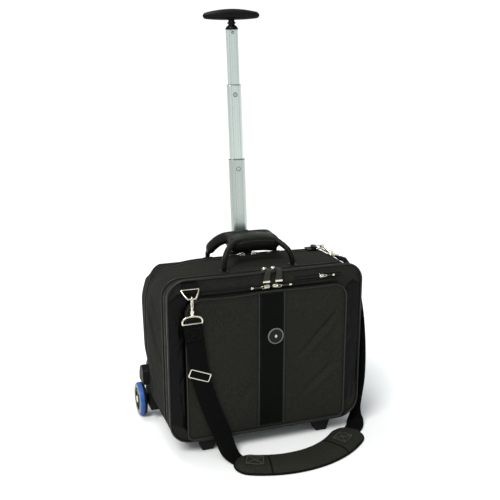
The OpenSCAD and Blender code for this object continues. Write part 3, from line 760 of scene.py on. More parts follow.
# ---------------------------------------------------------------- front pocket
def pocket_outline(d, n=420):
    """Outline of the pocket, inset by d, as (x, z, nx, nz)."""
    rb, rtl, rtr = 12 - min(d, 10), 36 - d, 30 - d
    x0, x1, z0, z1 = PX0 + d, PX1 - d, PZ0 + d, PZ1 - d
    segs = [("l", (0, z0), (x1 - rb, z0), (0, -1)), ("a", (x1 - rb, z0 + rb), rb, -90, 0), ("l", (x1, z0 + rb), (x1, z1 - rtr), (1, 0)),
            ("a", (x1 - rtr, z1 - rtr), rtr, 0, 90), ("l", (x1 - rtr, z1), (x0 + rtl, z1), (0, 1)), ("a", (x0 + rtl, z1 - rtl), rtl, 90, 180),
            ("l", (x0, z1 - rtl), (x0, z0 + rb), (-1, 0)), ("a", (x0 + rb, z0 + rb), rb, 180, 270), ("l", (x0 + rb, z0), (0, z0), (0, -1))]
    L = [math.dist(s[1], s[2]) if s[0] == "l" else s[2] * math.radians(s[4] - s[3]) for s in segs]
    tot = sum(L)
    out = []
    for i in range(n):
        dd = tot * i / n
        for s, l in zip(segs, L):
            if dd <= l:
                f = dd / l if l else 0
                if s[0] == "l":
                    out.append((s[1][0] + (s[2][0] - s[1][0]) * f, s[1][1] + (s[2][1] - s[1][1]) * f, s[3][0], s[3][1]))
                else:
                    a = math.radians(s[3] + (s[4] - s[3]) * f)
                    out.append((s[1][0] + s[2] * math.cos(a), s[1][1] + s[2] * math.sin(a), math.cos(a), math.sin(a)))
                break
            dd -= l
    return out


def pocket_face(x, z):
    """Depth y of the pocket's front at (x, z): slack padded fabric."""
    e = min(x - PX0, PX1 - x, z - PZ0, (PZ1 - z) * 1.2)
    e = max(0.0, e)
    y = -117.2 - 2.0 * (1 - math.exp(-e / 22))
    y -= 0.9 * nz(x, 3, z, 90) + 0.35 * nz(x, 11, z, 34)
    # creases at the right, diagonal as the fabric hangs from the corner
    y += crease(x, z, 104, 236, 47, 4.0, 50, 3.4) - crease(x, z, 114, 229, 47, 5.5, 50, 2.8) + crease(x, z, 132, 262, 55, 4.0, 40, 2.6) - crease(x, z, 140, 255, 55, 5.0, 40, 2.0) + crease(x, z, 112, 142, 40, 5, 44, 2.8) - crease(x, z, 121, 132, 40, 6.5, 44, 2.2) + crease(x, z, 140, 175, 62, 6, 44, 1.2)
    y += crease(x, z, 95, 300, 35, 5.0, 26, 1.0) + crease(x, z, -70, 300, 12, 6, 40, 1.0) + crease(x, z, -100, 90, 70, 7, 40, 1.2) + crease(x, z, -60, 110, 62, 9, 50, 1.0)
    return y


def sag(x):
    """The pocket's mouth sags a little between its ends and the strip."""
    a = max(0.0, 1 - abs((x + 85) / 62) ** 2.0)
    b = max(0.0, 1 - abs((x - 95) / 60) ** 2.0)
    return -3.0 * a - 1.2 * b


rings = []
for d, y in ((0.6, -104.5), (-0.4, -108), (-0.6, -112), (0.0, -115.2)):
    rings.append([(x, y, z + (sag(x) if z > PZ1 - 25 else 0)) for (x, z, a, b) in pocket_outline(d)])
for d in (0.8, 2.2, 4.2, 7, 10.5, 15, 20, 26):
    ring = []
    for (x, z, a, b) in pocket_outline(min(d, 29)):
        k = smoothstep(0, 6, d)
        ring.append((x, -116.0 * (1 - k) + pocket_face(x, z) * k, z + (sag(x) * (1 - d / 40) if z > PZ1 - 60 else 0)))
    rings.append(ring)
cx, cz = -2.5, 190.0
last = rings[-1]
for k in range(1, 60):
    s = 1 - k / 60.5
    ring = []
    for (x, y, z) in last:
        xx, zz = cx + (x - cx) * s, cz + (z - cz) * s
        ring.append((xx, pocket_face(xx, zz), zz))
    rings.append(ring)
verts = [p for r in rings for p in r]
k = len(rings[0])
faces = []
for i in range(len(rings) - 1):
    for j in range(k):
        a, b = i * k + j, i * k + (j + 1) % k
        faces.append((a, b, b + k, a + k))
faces.append(tuple((len(rings) - 1) * k + j for j in range(k)))
make("front_pocket_pouch", verts, faces, NYLON, slot="nylon", replaces=("front_pocket",))

# piping round the pocket, and a stitched line inside it
pts = [Vector((x, -116.6 + 0.3 * nz(x, 2, z, 22), z + (sag(x) if z > PZ1 - 25 else 0))) for (x, z, a, b) in pocket_outline(-0.2)]
v, f = sweep(pts, circle(2.0, 10), across=Vector((0, 1, 0)), closed=True)
make("pocket_piping", v, f, PIPE, slot="leatherette")


def stitches(name, pts, nrm, length=3.0, gap=1.6, r=0.32, mat=None, body="root", lift=0.15, closed=False):
    """A row of thread stitches along pts (Vectors), each a small capsule with sunk ends; nrm is one Vector or a list."""
    d = [0.0]
    for a, b in zip(pts, pts[1:]):
        d.append(d[-1] + (b - a).length)
    tot = d[-1]
    parts = []
    s = gap
    i = 0

    def at(q):
        lo = 0
        hi = len(d) - 1
        while hi - lo > 1:
            mid = (lo + hi) // 2
            if d[mid] <= q:
                lo = mid
            else:
                hi = mid
        f = (q - d[lo]) / max(1e-6, d[hi] - d[lo])
        n = nrm if isinstance(nrm, Vector) else nrm[lo]
        return pts[lo].lerp(pts[hi], f), n
    while s + length < tot:
        rowp = []
        for q, h in ((0, -0.35), (0.18, 0.1), (0.5, 0.25), (0.82, 0.1), (1, -0.35)):
            p, n = at(s + length * q)
            rowp.append(p + n * (h + lift))
        p, n = at(s + length / 2)
        parts.append(sweep(rowp, circle(r, 5), across=n.cross(rowp[-1] - rowp[0])))
        s += length + gap
    if not parts:
        return None
    v, f = join(parts)
    return make(name, v, f, mat or THREAD, body=body, slot="nylon")


FRONT = Vector((0, -1, 0))
pts = [Vector((x, pocket_face(x, z) - 0.1, z + sag(x) * 0.85 if z > PZ1 - 60 else z)) for (x, z, a, b) in pocket_outline(6.5, 421)]
stitches("pocket_stitch", pts + [pts[0]], FRONT)
pts = [Vector((x, -105.3, z)) for (x, z, a, b) in body_outline(8.5, 381, 420)]
stitches("face_stitch", pts + [pts[0]], FRONT)


# centre strip over the pocket, padded, with piping at both sides
def strip(name, xa, xb, za, zb, n=64, m=10):
    verts, faces = [], []
    for i in range(n + 1):
        z = za + (zb - za) * i / n
        for j in range(m + 1):
            x = xa + (xb - xa) * j / m
            e = min(j, m - j) / m * (xb - xa)
            lift = 1.2 + 0.9 * (1 - math.exp(-e / 6.0))
            verts.append((x, pocket_face(x, z) - lift - 0.25 * nz(x, 20, z, 26), z + (sag(x) if i > n - 4 else 0)))
    k = m + 1
    for i in range(n):
        for j in range(m):
            a = i * k + j
            faces.append((a, a + 1, a + 1 + k, a + k))
    return verts, faces


v, f = strip("centre", -24, 30, 50, 340)
make("centre_strip_pad", v, f, LEATHER, slot="leatherette", replaces=("centre_strip",))
for nm, x in (("a", -24.5), ("b", 30.5)):
    pts = [Vector((x + 0.5 * nz(x, 1, z, 40), pocket_face(x, z) - 1.3, z)) for z in [49 + 292 * i / 80 for i in range(81)]]
    v, f = sweep(pts, circle(2.0, 10), across=Vector((1, 0, 0)))
    make("strip_piping_" + nm, v, f, PIPE, slot="leatherette")
    sx = x + (4.2 if nm == "a" else -4.2)
    pts = [Vector((sx, pocket_face(sx, z) - 2.0, z)) for z in [53 + 284 * i / 90 for i in range(91)]]
    stitches("strip_stitch_" + nm, pts, FRONT)

# leatherette trims at the two sides of the front, crumpled
def trim(name, pts2, node, side):
    xs = [p[0] for p in pts2]
    zs = [p[1] for p in pts2]
    x0, x1, z0, z1 = min(xs), max(xs), min(zs), max(zs)
    nx_, nz_ = 26, 90
    from math import copysign

    def inside(x, z):
        c = False
        for (xa, za), (xb, zb) in zip(pts2, pts2[1:] + pts2[:1]):
            if (za > z) != (zb > z) and x < (xb - xa) * (z - za) / (zb - za) + xa:
                c = not c
        return c
    # rows between the left and right borders at each height
    def span(z):
        hit = []
        for (xa, za), (xb, zb) in zip(pts2, pts2[1:] + pts2[:1]):
            if (za > z) != (zb > z):
                hit.append(xa + (xb - xa) * (z - za) / (zb - za))
        return (min(hit), max(hit)) if hit else None
    rows = []
    for i in range(nz_ + 1):
        z = z0 + 0.4 + (z1 - z0 - 0.8) * i / nz_
        s = span(z)
        if not s:
            continue
        row = []
        for j in range(nx_ + 1):
            x = s[0] + (s[1] - s[0]) * j / nx_
            e = min(j, nx_ - j) / nx_ * (s[1] - s[0])
            lift = 0.3 + 1.6 * (1 - math.exp(-e / 4.0)) * smoothstep(0, 6, min(z - z0, z1 - z))
            lift += 3.0 * (abs(nz(x * 1.2, 5 * side, z * 0.5, 17)) - 0.16) * (1 - math.exp(-e / 6.0))
            row.append((x, -105.0 - lift, z))
        rows.append(row)
    verts = [p for r in rows for p in r]
    k = nx_ + 1
    faces = [(i * k + j, i * k + j + 1, (i + 1) * k + j + 1, (i + 1) * k + j) for i in range(len(rows) - 1) for j in range(nx_)]
    make(name, verts, faces, LEATHER_TRIM, slot="leatherette", replaces=(node,))


trim("trim_left_soft", [(-207, 76), (-176, 56), (-176, 318), (-171, 330), (-160, 340), (-148, 345), (-150, 353), (-190, 355), (-207, 340)], "trim_left", 1)
trim("trim_right_soft", [(207, 80), (172, 58), (172, 320), (178, 338), (192, 346), (207, 334)], "trim_right", -1)

# short vertical seam above the pocket
v, f = sweep([Vector((-41, -105.6, z)) for z in (357, 361, 366, 371, 376)], circle(1.0, 6), across=Vector((1, 0, 0)))
make("gusset_seam", v, f, PIPE, slot="leatherette")


# ---------------------------------------------------------------- copies of moulded parts with their edges eased
record = frame["record"]
BODY = {}
for bname, members in record["behaviour"]["bodies"].items():
    for nname in members:
        BODY[nname] = bname


def body_of(node):
    return BODY.get(node, "root")


def remodel(node, mat, w, angle=28, name=None, seg=3):
    src = frame["nodes"][node]
    bpy.context.view_layer.update()
    me = src.data.copy()
    me.transform(src.matrix_world)
    bm = bmesh.new()
    bm.from_mesh(me)
    bmesh.ops.remove_doubles(bm, verts=bm.verts, dist=2e-6)
    bmesh.ops.dissolve_limit(bm, angle_limit=math.radians(1.5), verts=bm.verts, edges=bm.edges)
    bmesh.ops.recalc_face_normals(bm, faces=bm.faces)
    bm.to_mesh(me)
    bm.free()
    me.materials.clear()
    me.materials.append(mat)
    o = bpy.data.objects.new(name or node + "_finish", me)
    bpy.context.scene.collection.objects.link(o)
    bevel(o, w, seg, angle)
    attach(o, body_of(node))
    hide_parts(node)
    return o


remodel("back_panel", MOULD, 2.0)
remodel("base_tray", MOULD, 1.0)
remodel("wheel_housing_l", MOULD, 1.6, 20)
remodel("wheel_housing_r", MOULD, 1.6, 20)
remodel("foot_l", FOOTM, 2.2)
remodel("foot_r", FOOTM, 2.2)
remodel("mast_collar", MOULD, 1.6, 40)
remodel("axle_l", STEEL, 0.4, 30)
remodel("axle_r_pin", STEEL, 0.4, 30)
remodel("ring_tab_l", LEATHER_TRIM, 1.4)
remodel("ring_tab_r", LEATHER_TRIM, 1.2)

# ---------------------------------------------------------------- wheels
for s, L in ((-1, "l"), (1, "r")):
    M4 = T(s * 218, 112.5, 37.8) @ R("Y", s * 90)
    prof = [(29.0, 0.8), (33.5, 0.9), (35.0, 1.2), (36.2, 2.0), (37.0, 3.2), (37.5, 4.8)]
    for g in (6.0, 9.0, 12.0):
        prof += [(37.7, g - 0.9), (37.3, g - 0.45), (36.8, g), (37.3, g + 0.45), (37.7, g + 0.9)]
    prof += [(37.5, 13.4), (37.0, 14.9), (36.2, 16.0), (35.0, 16.8), (33.5, 17.1), (29.0, 17.2)]
    outer = [(29.0, 7.6)] + [q for q in prof if q[1] > 7.5] + [(29.0, 7.6)]
    v, f = lathe(outer, 96, M4)
    make("tyre_round_" + L, v, f, TYRE, "wheel_" + L, "tyre_blue", replaces=("tyre_" + L,))
    # the inner half of the tread takes the black moulding instead of the blue: painted shade on the half of the tyre
    # that lies in shadow
    shaded_half = [q for q in prof if q[1] <= 7.5] + [(37.2, 7.55), (29.0, 7.55), prof[0]]
    v, f = lathe(shaded_half, 96, M4)
    make("tyre_shade_band_" + L, v, f, MOULD, "wheel_" + L, "moulded_black")
    # the hub body takes the dark copy of the hub plastic: painted shade in the recess between the ribs
    o = remodel("hub_" + L, HUB_SHADE, 0.7, 35)
    prof = [(25.2, 16.4), (25.6, 17.3), (27.5, 18.0), (31.5, 18.0), (34.4, 17.6), (35.0, 16.9), (34.6, 16.4), (25.2, 16.4)]
    v, f = lathe(prof, 80, M4)
    make("hub_face_" + L, v, f, HUB, "wheel_" + L, "hub_plastic")
    parts = []
    for i in range(5):
        a = math.radians(i * 72 + 18 + 36)
        for r0, r1, hh in ((9.5, 25.4, 15.2),):
            rp = []
            for r, w, h in ((r0, 3.4, 15.6), (r0 + 6, 2.6, 15.0), (r1 - 4, 3.0, 15.4), (r1, 4.2, 16.2)):
                rp.append((r, w, h))
            vv = []
            for r, w, h in rp:
                c, t = Vector((math.cos(a), math.sin(a), 0)), Vector((-math.sin(a), math.cos(a), 0))
                for k, hz in ((-1, 11.8), (-0.55, h), (0.55, h), (1, 11.8)):
                    vv.append(M4 @ (c * r + t * k * w / 2 + Vector((0, 0, hz))))
            ff = []
            for q in range(3):
                for j in range(4):
                    b0, b1 = q * 4 + j, q * 4 + (j + 1) % 4
                    ff.append((b0, b1, b1 + 4, b0 + 4))
            ff += [(0, 1, 2, 3), (12, 13, 14, 15)]
            parts.append((vv, ff))
    v, f = join(parts)
    o = make("hub_ribs_" + L, v, f, HUB, "wheel_" + L, "hub_plastic", smooth=False)
    bevel(o, 0.4, 2)

# ---------------------------------------------------------------- mast
LEAN = 6.22
MAST = T(5, 84, 350) @ R("X", -LEAN)
for nme in ("stage_1", "stage_2", "stage_3", "mast_housing"):
    ob = frame["nodes"][nme]
    for sl in ob.material_slots:
        sl.material = ALU_UPPER if nme in ("stage_2", "stage_3") else ALU
for nme in ("guide_1", "guide_2", "guide_3"):
    for sl in frame["nodes"][nme].material_slots:
        sl.material = GUIDE
for nme in ("divider_front", "laptop_sleeve", "trolley_liner"):
    for sl in frame["nodes"][nme].material_slots:
        sl.material = LINING


def mast_dir(v):
    return (MAST.to_3x3() @ Vector(v)).normalized()


# snap buttons, copied in steel without their bevel (the real buttons are pushed in as each tube slides home)
for node, joint, rear, depth in (("snap_2", "mast_slide_middle", 6.5, 0.90), ("snap_3", "mast_slide_upper", 4.0, 0.87)):
    o = remodel(node, STEEL, 0.35, 40)
    md = o.modifiers.get("bevel")
    if md:
        o.modifiers.remove(md)
    s = 208.3 if node == "snap_2" else 368.3
    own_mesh(o)

def flush(name, s_, half, rings, body):
    """Flat discs let into the front of a tube at s_, half a tube depth from its axis."""
    for k, (r0, r1, h, mat, slotn) in enumerate(rings):
        v_, f_ = lathe([(max(r0, 0.02), h - 0.5), (max(r0, 0.02), h), (r1, h), (r1, h - 0.5), (max(r0, 0.02), h - 0.5)], 32, MAST @ T(0, -half, s_) @ R("X", 90))
        make("%s_%d" % (name, k), v_, f_, mat, body, slotn)


flush("rivet_upper", 499.0, 5.5, ((0, 1.9, 0.09, STEEL, "pin_steel"), (1.9, 2.9, 0.07, GUIDE, "guide_plastic")), "mast_upper")
flush("button_rim_middle", 368.3, 8.0, ((4.3, 5.0, 0.07, GUIDE, "guide_plastic"),), "mast_middle")
flush("button_rim_lower", 208.3, 10.5, ((4.3, 5.0, 0.07, GUIDE, "guide_plastic"),), "mast_lower")
# neck and grip
prof = [(0, 0), (12.9, 0), (13.4, 0.5), (13.7, 2.2), (13.2, 3.6), (12.0, 5.6), (10.6, 7.4), (8.6, 8.8), (7.2, 9.8), (6.9, 10.6), (7.0, 11.6), (7.6, 12.4), (8.6, 12.9), (8.9, 13.6), (8.9, 15.2), (8.5, 16.0), (7.2, 16.6), (6.7, 17.4), (6.6, 19.5), (7.4, 21.6), (0, 22.5)]
v, f = lathe(prof, 48, MAST @ T(0, 0, 505))
make("neck_turned", v, f, GRIPM, "mast_upper", "grip_plastic", replaces=("neck",))
stations = []
NG = 72
for i in range(NG + 1):
    u = -1 + 2 * i / NG
    x = 61.5 * math.sin(u * math.pi / 2)
    a = abs(x) / 61.5
    r = 6.0 + 6.4 * (1 - a ** 2.1)
    end = math.sqrt(max(0.0, 1 - max(0.0, (a - 0.9) / 0.1) ** 2))
    r = max(0.15, r * end)
    zc = 11.0 - 2.5 * a ** 1.6
    stations.append((x, r, zc))
rings, verts, faces = [], [], []
for x, r, zc in stations:
    for j in range(32):
        a = 2 * math.pi * j / 32
        verts.append(MAST @ R("Z", -8) @ Vector((x, r * math.cos(a), 526 + zc + r * 0.94 * math.sin(a))))
for i in range(NG):
    for j in range(32):
        faces.append((i * 32 + j, i * 32 + (j + 1) % 32, (i + 1) * 32 + (j + 1) % 32, (i + 1) * 32 + j))
faces += [tuple(range(32)), tuple(NG * 32 + j for j in range(32))]
make("grip_soft", verts, faces, GRIPM, "mast_upper", "grip_plastic", replaces=("grip",))
# a parting ring round the middle of the grip where it meets the neck
v, f = sweep([MAST @ Vector((9.2 * math.cos(a), 9.2 * math.sin(a), 527.6)) for a in [2 * math.pi * i / 40 for i in range(40)]], circle(0.9, 8), across=mast_dir((0, 0, 1)), closed=True)
make("grip_ring", v, f, GRIPM, "mast_upper", "grip_plastic")

# bright rolled rims at the tops of the tubes
def stadium(w, d, n=16):
    out = []
    for cx, a0 in (((w - d) / 2, -90), (-(w - d) / 2, 90)):
        for i in range(n + 1):
            a = math.radians(a0 + 180 * i / n)
            out.append((cx + d / 2 * math.cos(a), d / 2 * math.sin(a)))
    return out


for w, d, s, body in ((36.5, 21, 228.0, "mast_lower"), (31.5, 16, 388.0, "mast_middle")):
    pts = [MAST @ Vector((x, y, s)) for x, y in stadium(w - 0.6, d - 0.6)]
    v, f = sweep(pts, circle(0.75, 6), across=mast_dir((0, 0, 1)), closed=True)
    make("tube_rim_" + body, v, f, STEEL, body, "mast_aluminium")

# ---------------------------------------------------------------- carry handle
HF = [[-74, -44, 372], [-73.5, -43, 384], [-69, -38, 402], [-56, -26, 417], [-36, -13, 424], [5, -8, 425], [46, -13, 422], [62, -26, 413], [73, -38, 400], [77.5, -43, 384], [78, -44, 372]]
HR = [[-74, 78, 368], [-73, 76, 382], [-66, 68, 397], [-52, 54, 413], [-34, 38, 422], [5, 30, 425], [44, 38, 422], [62, 54, 413], [76, 68, 397], [83, 76, 382], [84, 78, 368]]


def loop_shape(name, route, node):
    pts = catmull(route, 10)
    n = len(pts)
    sec = []
    for j in range(20):
        a = 2 * math.pi * j / 20
        c, s_ = math.cos(a), math.sin(a)
        sec.append((6.1 * abs(c) ** 0.8 * (1 if c > 0 else -1), 5.6 * abs(s_) ** 0.8 * (1 if s_ > 0 else -1)))
    sc = []
    for i in range(n):
        e = min(i, n - 1 - i) / (n / 2)
        sc.append(0.86 + 0.16 * smoothstep(0.0, 0.5, e) + 0.03 * nz(i * 3.1, 5, 2, 9))
    v, f = sweep(pts, sec, across=Vector((0, 1, 0.2)), scale=sc)
    o = make(name, v, f, HANDLE, slot="leatherette", replaces=(node,))
    # stitching along the outside
    for sgn in (-1, 1):
        line, nr = [], []
        for i in range(6, n - 6):
            t = (pts[i + 1] - pts[i - 1]).normalized()
            u = (Vector((0, 1, 0.2)) - t * t.dot(Vector((0, 1, 0.2)))).normalized()
            w = t.cross(u)
            if w.z < 0:
                w = -w
            line.append(pts[i] + (u * 3.6 * sgn + w * 4.55) * sc[i])
            nr.append((w + u * 0.6 * sgn).normalized())
        stitches(name + ("_stitch_a" if sgn < 0 else "_stitch_b"), line, nr, 2.6, 1.5, 0.28)
    return pts


hf_pts = loop_shape("handle_front_loop", HF, "handle_front")
hr_pts = loop_shape("handle_rear_loop", HR, "handle_rear")

# chapes where the loops are sewn down on the top
for nm, x, y, z in (("a", -74, -44, 372.0), ("b", 78, -44, 372.0), ("c", -74, 77, 368.4), ("d", 84, 77, 368.4)):
    v, f = block(x - 9, x + 9, y - (11 if y < 0 else 9), y + 10, z - 1.0, z + 1.9)
    if y > 0:
        v = [(px, py, pz - (py - 66) * 0.32 + 3.4) for px, py, pz in v]
    o = make("handle_chape_" + nm, v, f, HANDLE, slot="leatherette")
    bevel(o, 1.3, 3)

# padded wrap that holds the two loops together
NW, KW = 46, 44
verts, faces = [], []
for i in range(NW + 1):
    u = i / NW
    x = -46 + 106 * u
    e = min(u, 1 - u) * 106
    sh = (1 - max(0.0, 1 - e / 4.5) ** 2.2 * 0.16)
    puff = 1 + 0.015 * math.sin(u * math.pi)
    dz = -((x - 5) ** 2) / (2 * 230)
    for j in range(KW):
        a = 2 * math.pi * j / KW
        c, s_ = math.cos(a), math.sin(a)
        p = 2 / 2.7
        yy = 30.0 * abs(c) ** p * (1 if c > 0 else -1) * sh * puff
        zz = (12.3 if s_ > 0 else 12.3 + 11.5 * smoothstep(0, 14, e)) * abs(s_) ** p * (1 if s_ > 0 else -1) * sh * puff
        wr = 0.35 * nz(x, yy, zz, 11) + 0.45 * nz(x * 0.4, yy, zz, 18)
        verts.append((x, 11.25 + yy * (1 + wr * 0.02), 421.2 + zz + dz + (wr if s_ > 0 else 0)))
for i in range(NW):
    for j in range(KW):
        faces.append((i * KW + j, i * KW + (j + 1) % KW, (i + 1) * KW + (j + 1) % KW, (i + 1) * KW + j))
faces += [tuple(range(KW)), tuple(NW * KW + j for j in range(KW))]
make("handle_wrap_pad", verts, faces, HANDLE, slot="leatherette", replaces=("handle_wrap",))


def wrap_point(x, deg, out=0.0):
    a = math.radians(deg)
    c, s_ = math.cos(a), math.sin(a)
    p = 2 / 2.7
    yy = (30.0 + out) * abs(c) ** p * (1 if c > 0 else -1)
    zz = (12.3 + out) * abs(s_) ** p * (1 if s_ > 0 else -1)
    return Vector((x, 11.25 + yy, 421.2 + zz - ((x - 5) ** 2) / (2 * 230)))


# cord along the wrap's front edge and back edge, and stitch rows beside it and at the ends
for nm, deg in (("front", 172), ("back", 8)):
    pts = [wrap_point(-44 + 102 * i / 60, deg, 0.3) for i in range(61)]
    v, f = sweep(pts, circle(1.5, 8), across=Vector((0, 0, 1)))
    make("wrap_cord_" + nm, v, f, PIPE, slot="leatherette")
for nm, deg in (("front", 158), ("back", 22)):
    pts = [wrap_point(-42 + 98 * i / 60, deg) for i in range(61)]
    stitches("wrap_stitch_" + nm, pts, (pts[30] - Vector((5, 11.25, 421))).normalized(), 2.8, 1.6, 0.32)
for nm, x in (("left", -41.0), ("right", 55.0)):
    pts, nr = [], []
    for k in range(10, 171, 4):
        pts.append(wrap_point(x, k))
        nr.append((wrap_point(x, k, 3) - pts[-1]).normalized())
    stitches("wrap_end_stitch_" + nm, pts, nr, 2.6, 1.5, 0.32)


# padded sleeve over the rear loop where it runs into the wrap
for nm, sel in (("left", HR[1:6]), ("right", HR[5:10][::-1])):
    q = catmull(sel, 10)
    n = len(q)
    sc = [0.55 + 0.45 * smoothstep(0, 7, i) for i in range(n)]
    sec = []
    for j in range(22):
        a = 2 * math.pi * j / 22
        c, s_ = math.cos(a), math.sin(a)
        sec.append((13.4 * abs(c) ** 0.85 * (1 if c > 0 else -1), 9.2 * abs(s_) ** 0.85 * (1 if s_ > 0 else -1)))
    if nm == "right":
        sec = [(a * 0.86, b * 0.9) for a, b in sec]
    v, f = sweep(q, sec, across=Vector((0, 1, 0.5)), scale=sc)
    make("handle_sleeve_" + nm, v, f, HANDLE, slot="leatherette")


# ---------------------------------------------------------------- zip sliders and pulls
def rounded_plate(w, d, h, z, r=None, k=5, taper=0.0):
    """Rounded rectangle w along X, d along Y, from z to z + h, with eased edges."""
    r = min(w, d) / 2 * 0.7 if r is None else r
    pts = []
    for cx, cy, a0 in ((w / 2 - r, -d / 2 + r, -90), (w / 2 - r, d / 2 - r, 0), (-w / 2 + r, d / 2 - r, 90), (-w / 2 + r, -d / 2 + r, 180)):
        for i in range(k + 1):
            a = math.radians(a0 + 90 * i / k)
            pts.append((cx + r * math.cos(a), cy + r * math.sin(a)))
    e = min(0.45, h * 0.35)
    layers = [(0, -e), (e, 0), (h - e, 0), (h, -e)]
    verts, faces = [], []
    n = len(pts)
    for hz, ins in layers:
        for (x, y) in pts:
            l = math.hypot(x, y)
            verts.append(Vector((x * (l + ins) / l * (1 - taper * hz / h), y * (l + ins) / l, z + hz)))
    for q in range(len(layers) - 1):
        for j in range(n):
            faces.append((q * n + j, q * n + (j + 1) % n, (q + 1) * n + (j + 1) % n, (q + 1) * n + j))
    faces += [tuple(range(n)), tuple((len(layers) - 1) * n + j for j in range(n))]
    return verts, faces


def placed(part, M4):
    return [M4 @ Vector(v) for v in part[0]], part[1]


def slider_mesh(M4, scale=1.0, bail=True):
    S = M4 @ Matrix.Diagonal((scale, scale, scale, 1))
    parts = [placed(rounded_plate(12, 9, 1.5, 0.05, 2.6), S), placed(rounded_plate(3.2, 6, 1.4, 1.4, 1.0), S), placed(rounded_plate(10.4, 8.2, 1.4, 2.5, 2.8), S)]
    if bail:
        arch = [Vector((x, 0, z)) for x, z in ((-4.2, 3.6), (-4.0, 5.0), (-2.6, 5.9), (0, 6.2), (2.6, 5.9), (4.0, 5.0), (4.2, 3.6))]
        v, f = sweep(catmull(arch, 4), flat_section(2.6, 1.0, 3), across=Vector((0, 1, 0)))
        parts.append(placed((v, f), S))
    return join(parts)


def pull_flat(name, M4, d, body, node, scale=1.0):
    """Slider with a link, a dark leatherette tab and a bright tip, lying flat along d."""
    S = M4 @ Matrix.Diagonal((scale, scale, scale, 1))
    parts = [slider_mesh(M4, scale)]
    link = [Vector((d * x, y, z)) for x, y, z in ((2.6, 0, 4.4), (4.4, 2.2, 4.3), (8.5, 2.5, 3.4), (12.0, 1.8, 2.9), (13.2, 0, 2.8), (12.0, -1.8, 2.9), (8.5, -2.5, 3.4), (4.4, -2.2, 4.3))]
    v, f = sweep(catmull(link, 4, True), circle(0.8, 8), across=Vector((0, 0, 1)), closed=True)
    parts.append(placed((v, f), S))
    tip = rounded_plate(6.6, 6.0, 2.2, 1.7, 2.6)
    parts.append(placed(([p + Vector((d * 32.6, 0, 0)) for p in tip[0]], tip[1]), S))
    neckp = rounded_plate(5.0, 4.2, 1.9, 1.9, 1.2)
    parts.append(placed(([p + Vector((d * 13.5, 0, 0)) for p in neckp[0]], neckp[1]), S))
    v, f = join(parts)
    make(name, v, f, CHROME, body, "hardware_metal", replaces=(node,))
    rib = [Vector((d * x, 0, z)) for x, z in ((12.5, 2.9), (18, 2.8), (24, 2.7), (30.5, 2.8))]
    v, f = sweep(rib, flat_section(4.6, 1.9, 4), across=Vector((0, 1, 0)))
    v, f = placed((v, f), S)
    make(name + "_tab", v, f, PULL, body, "pull_leatherette")


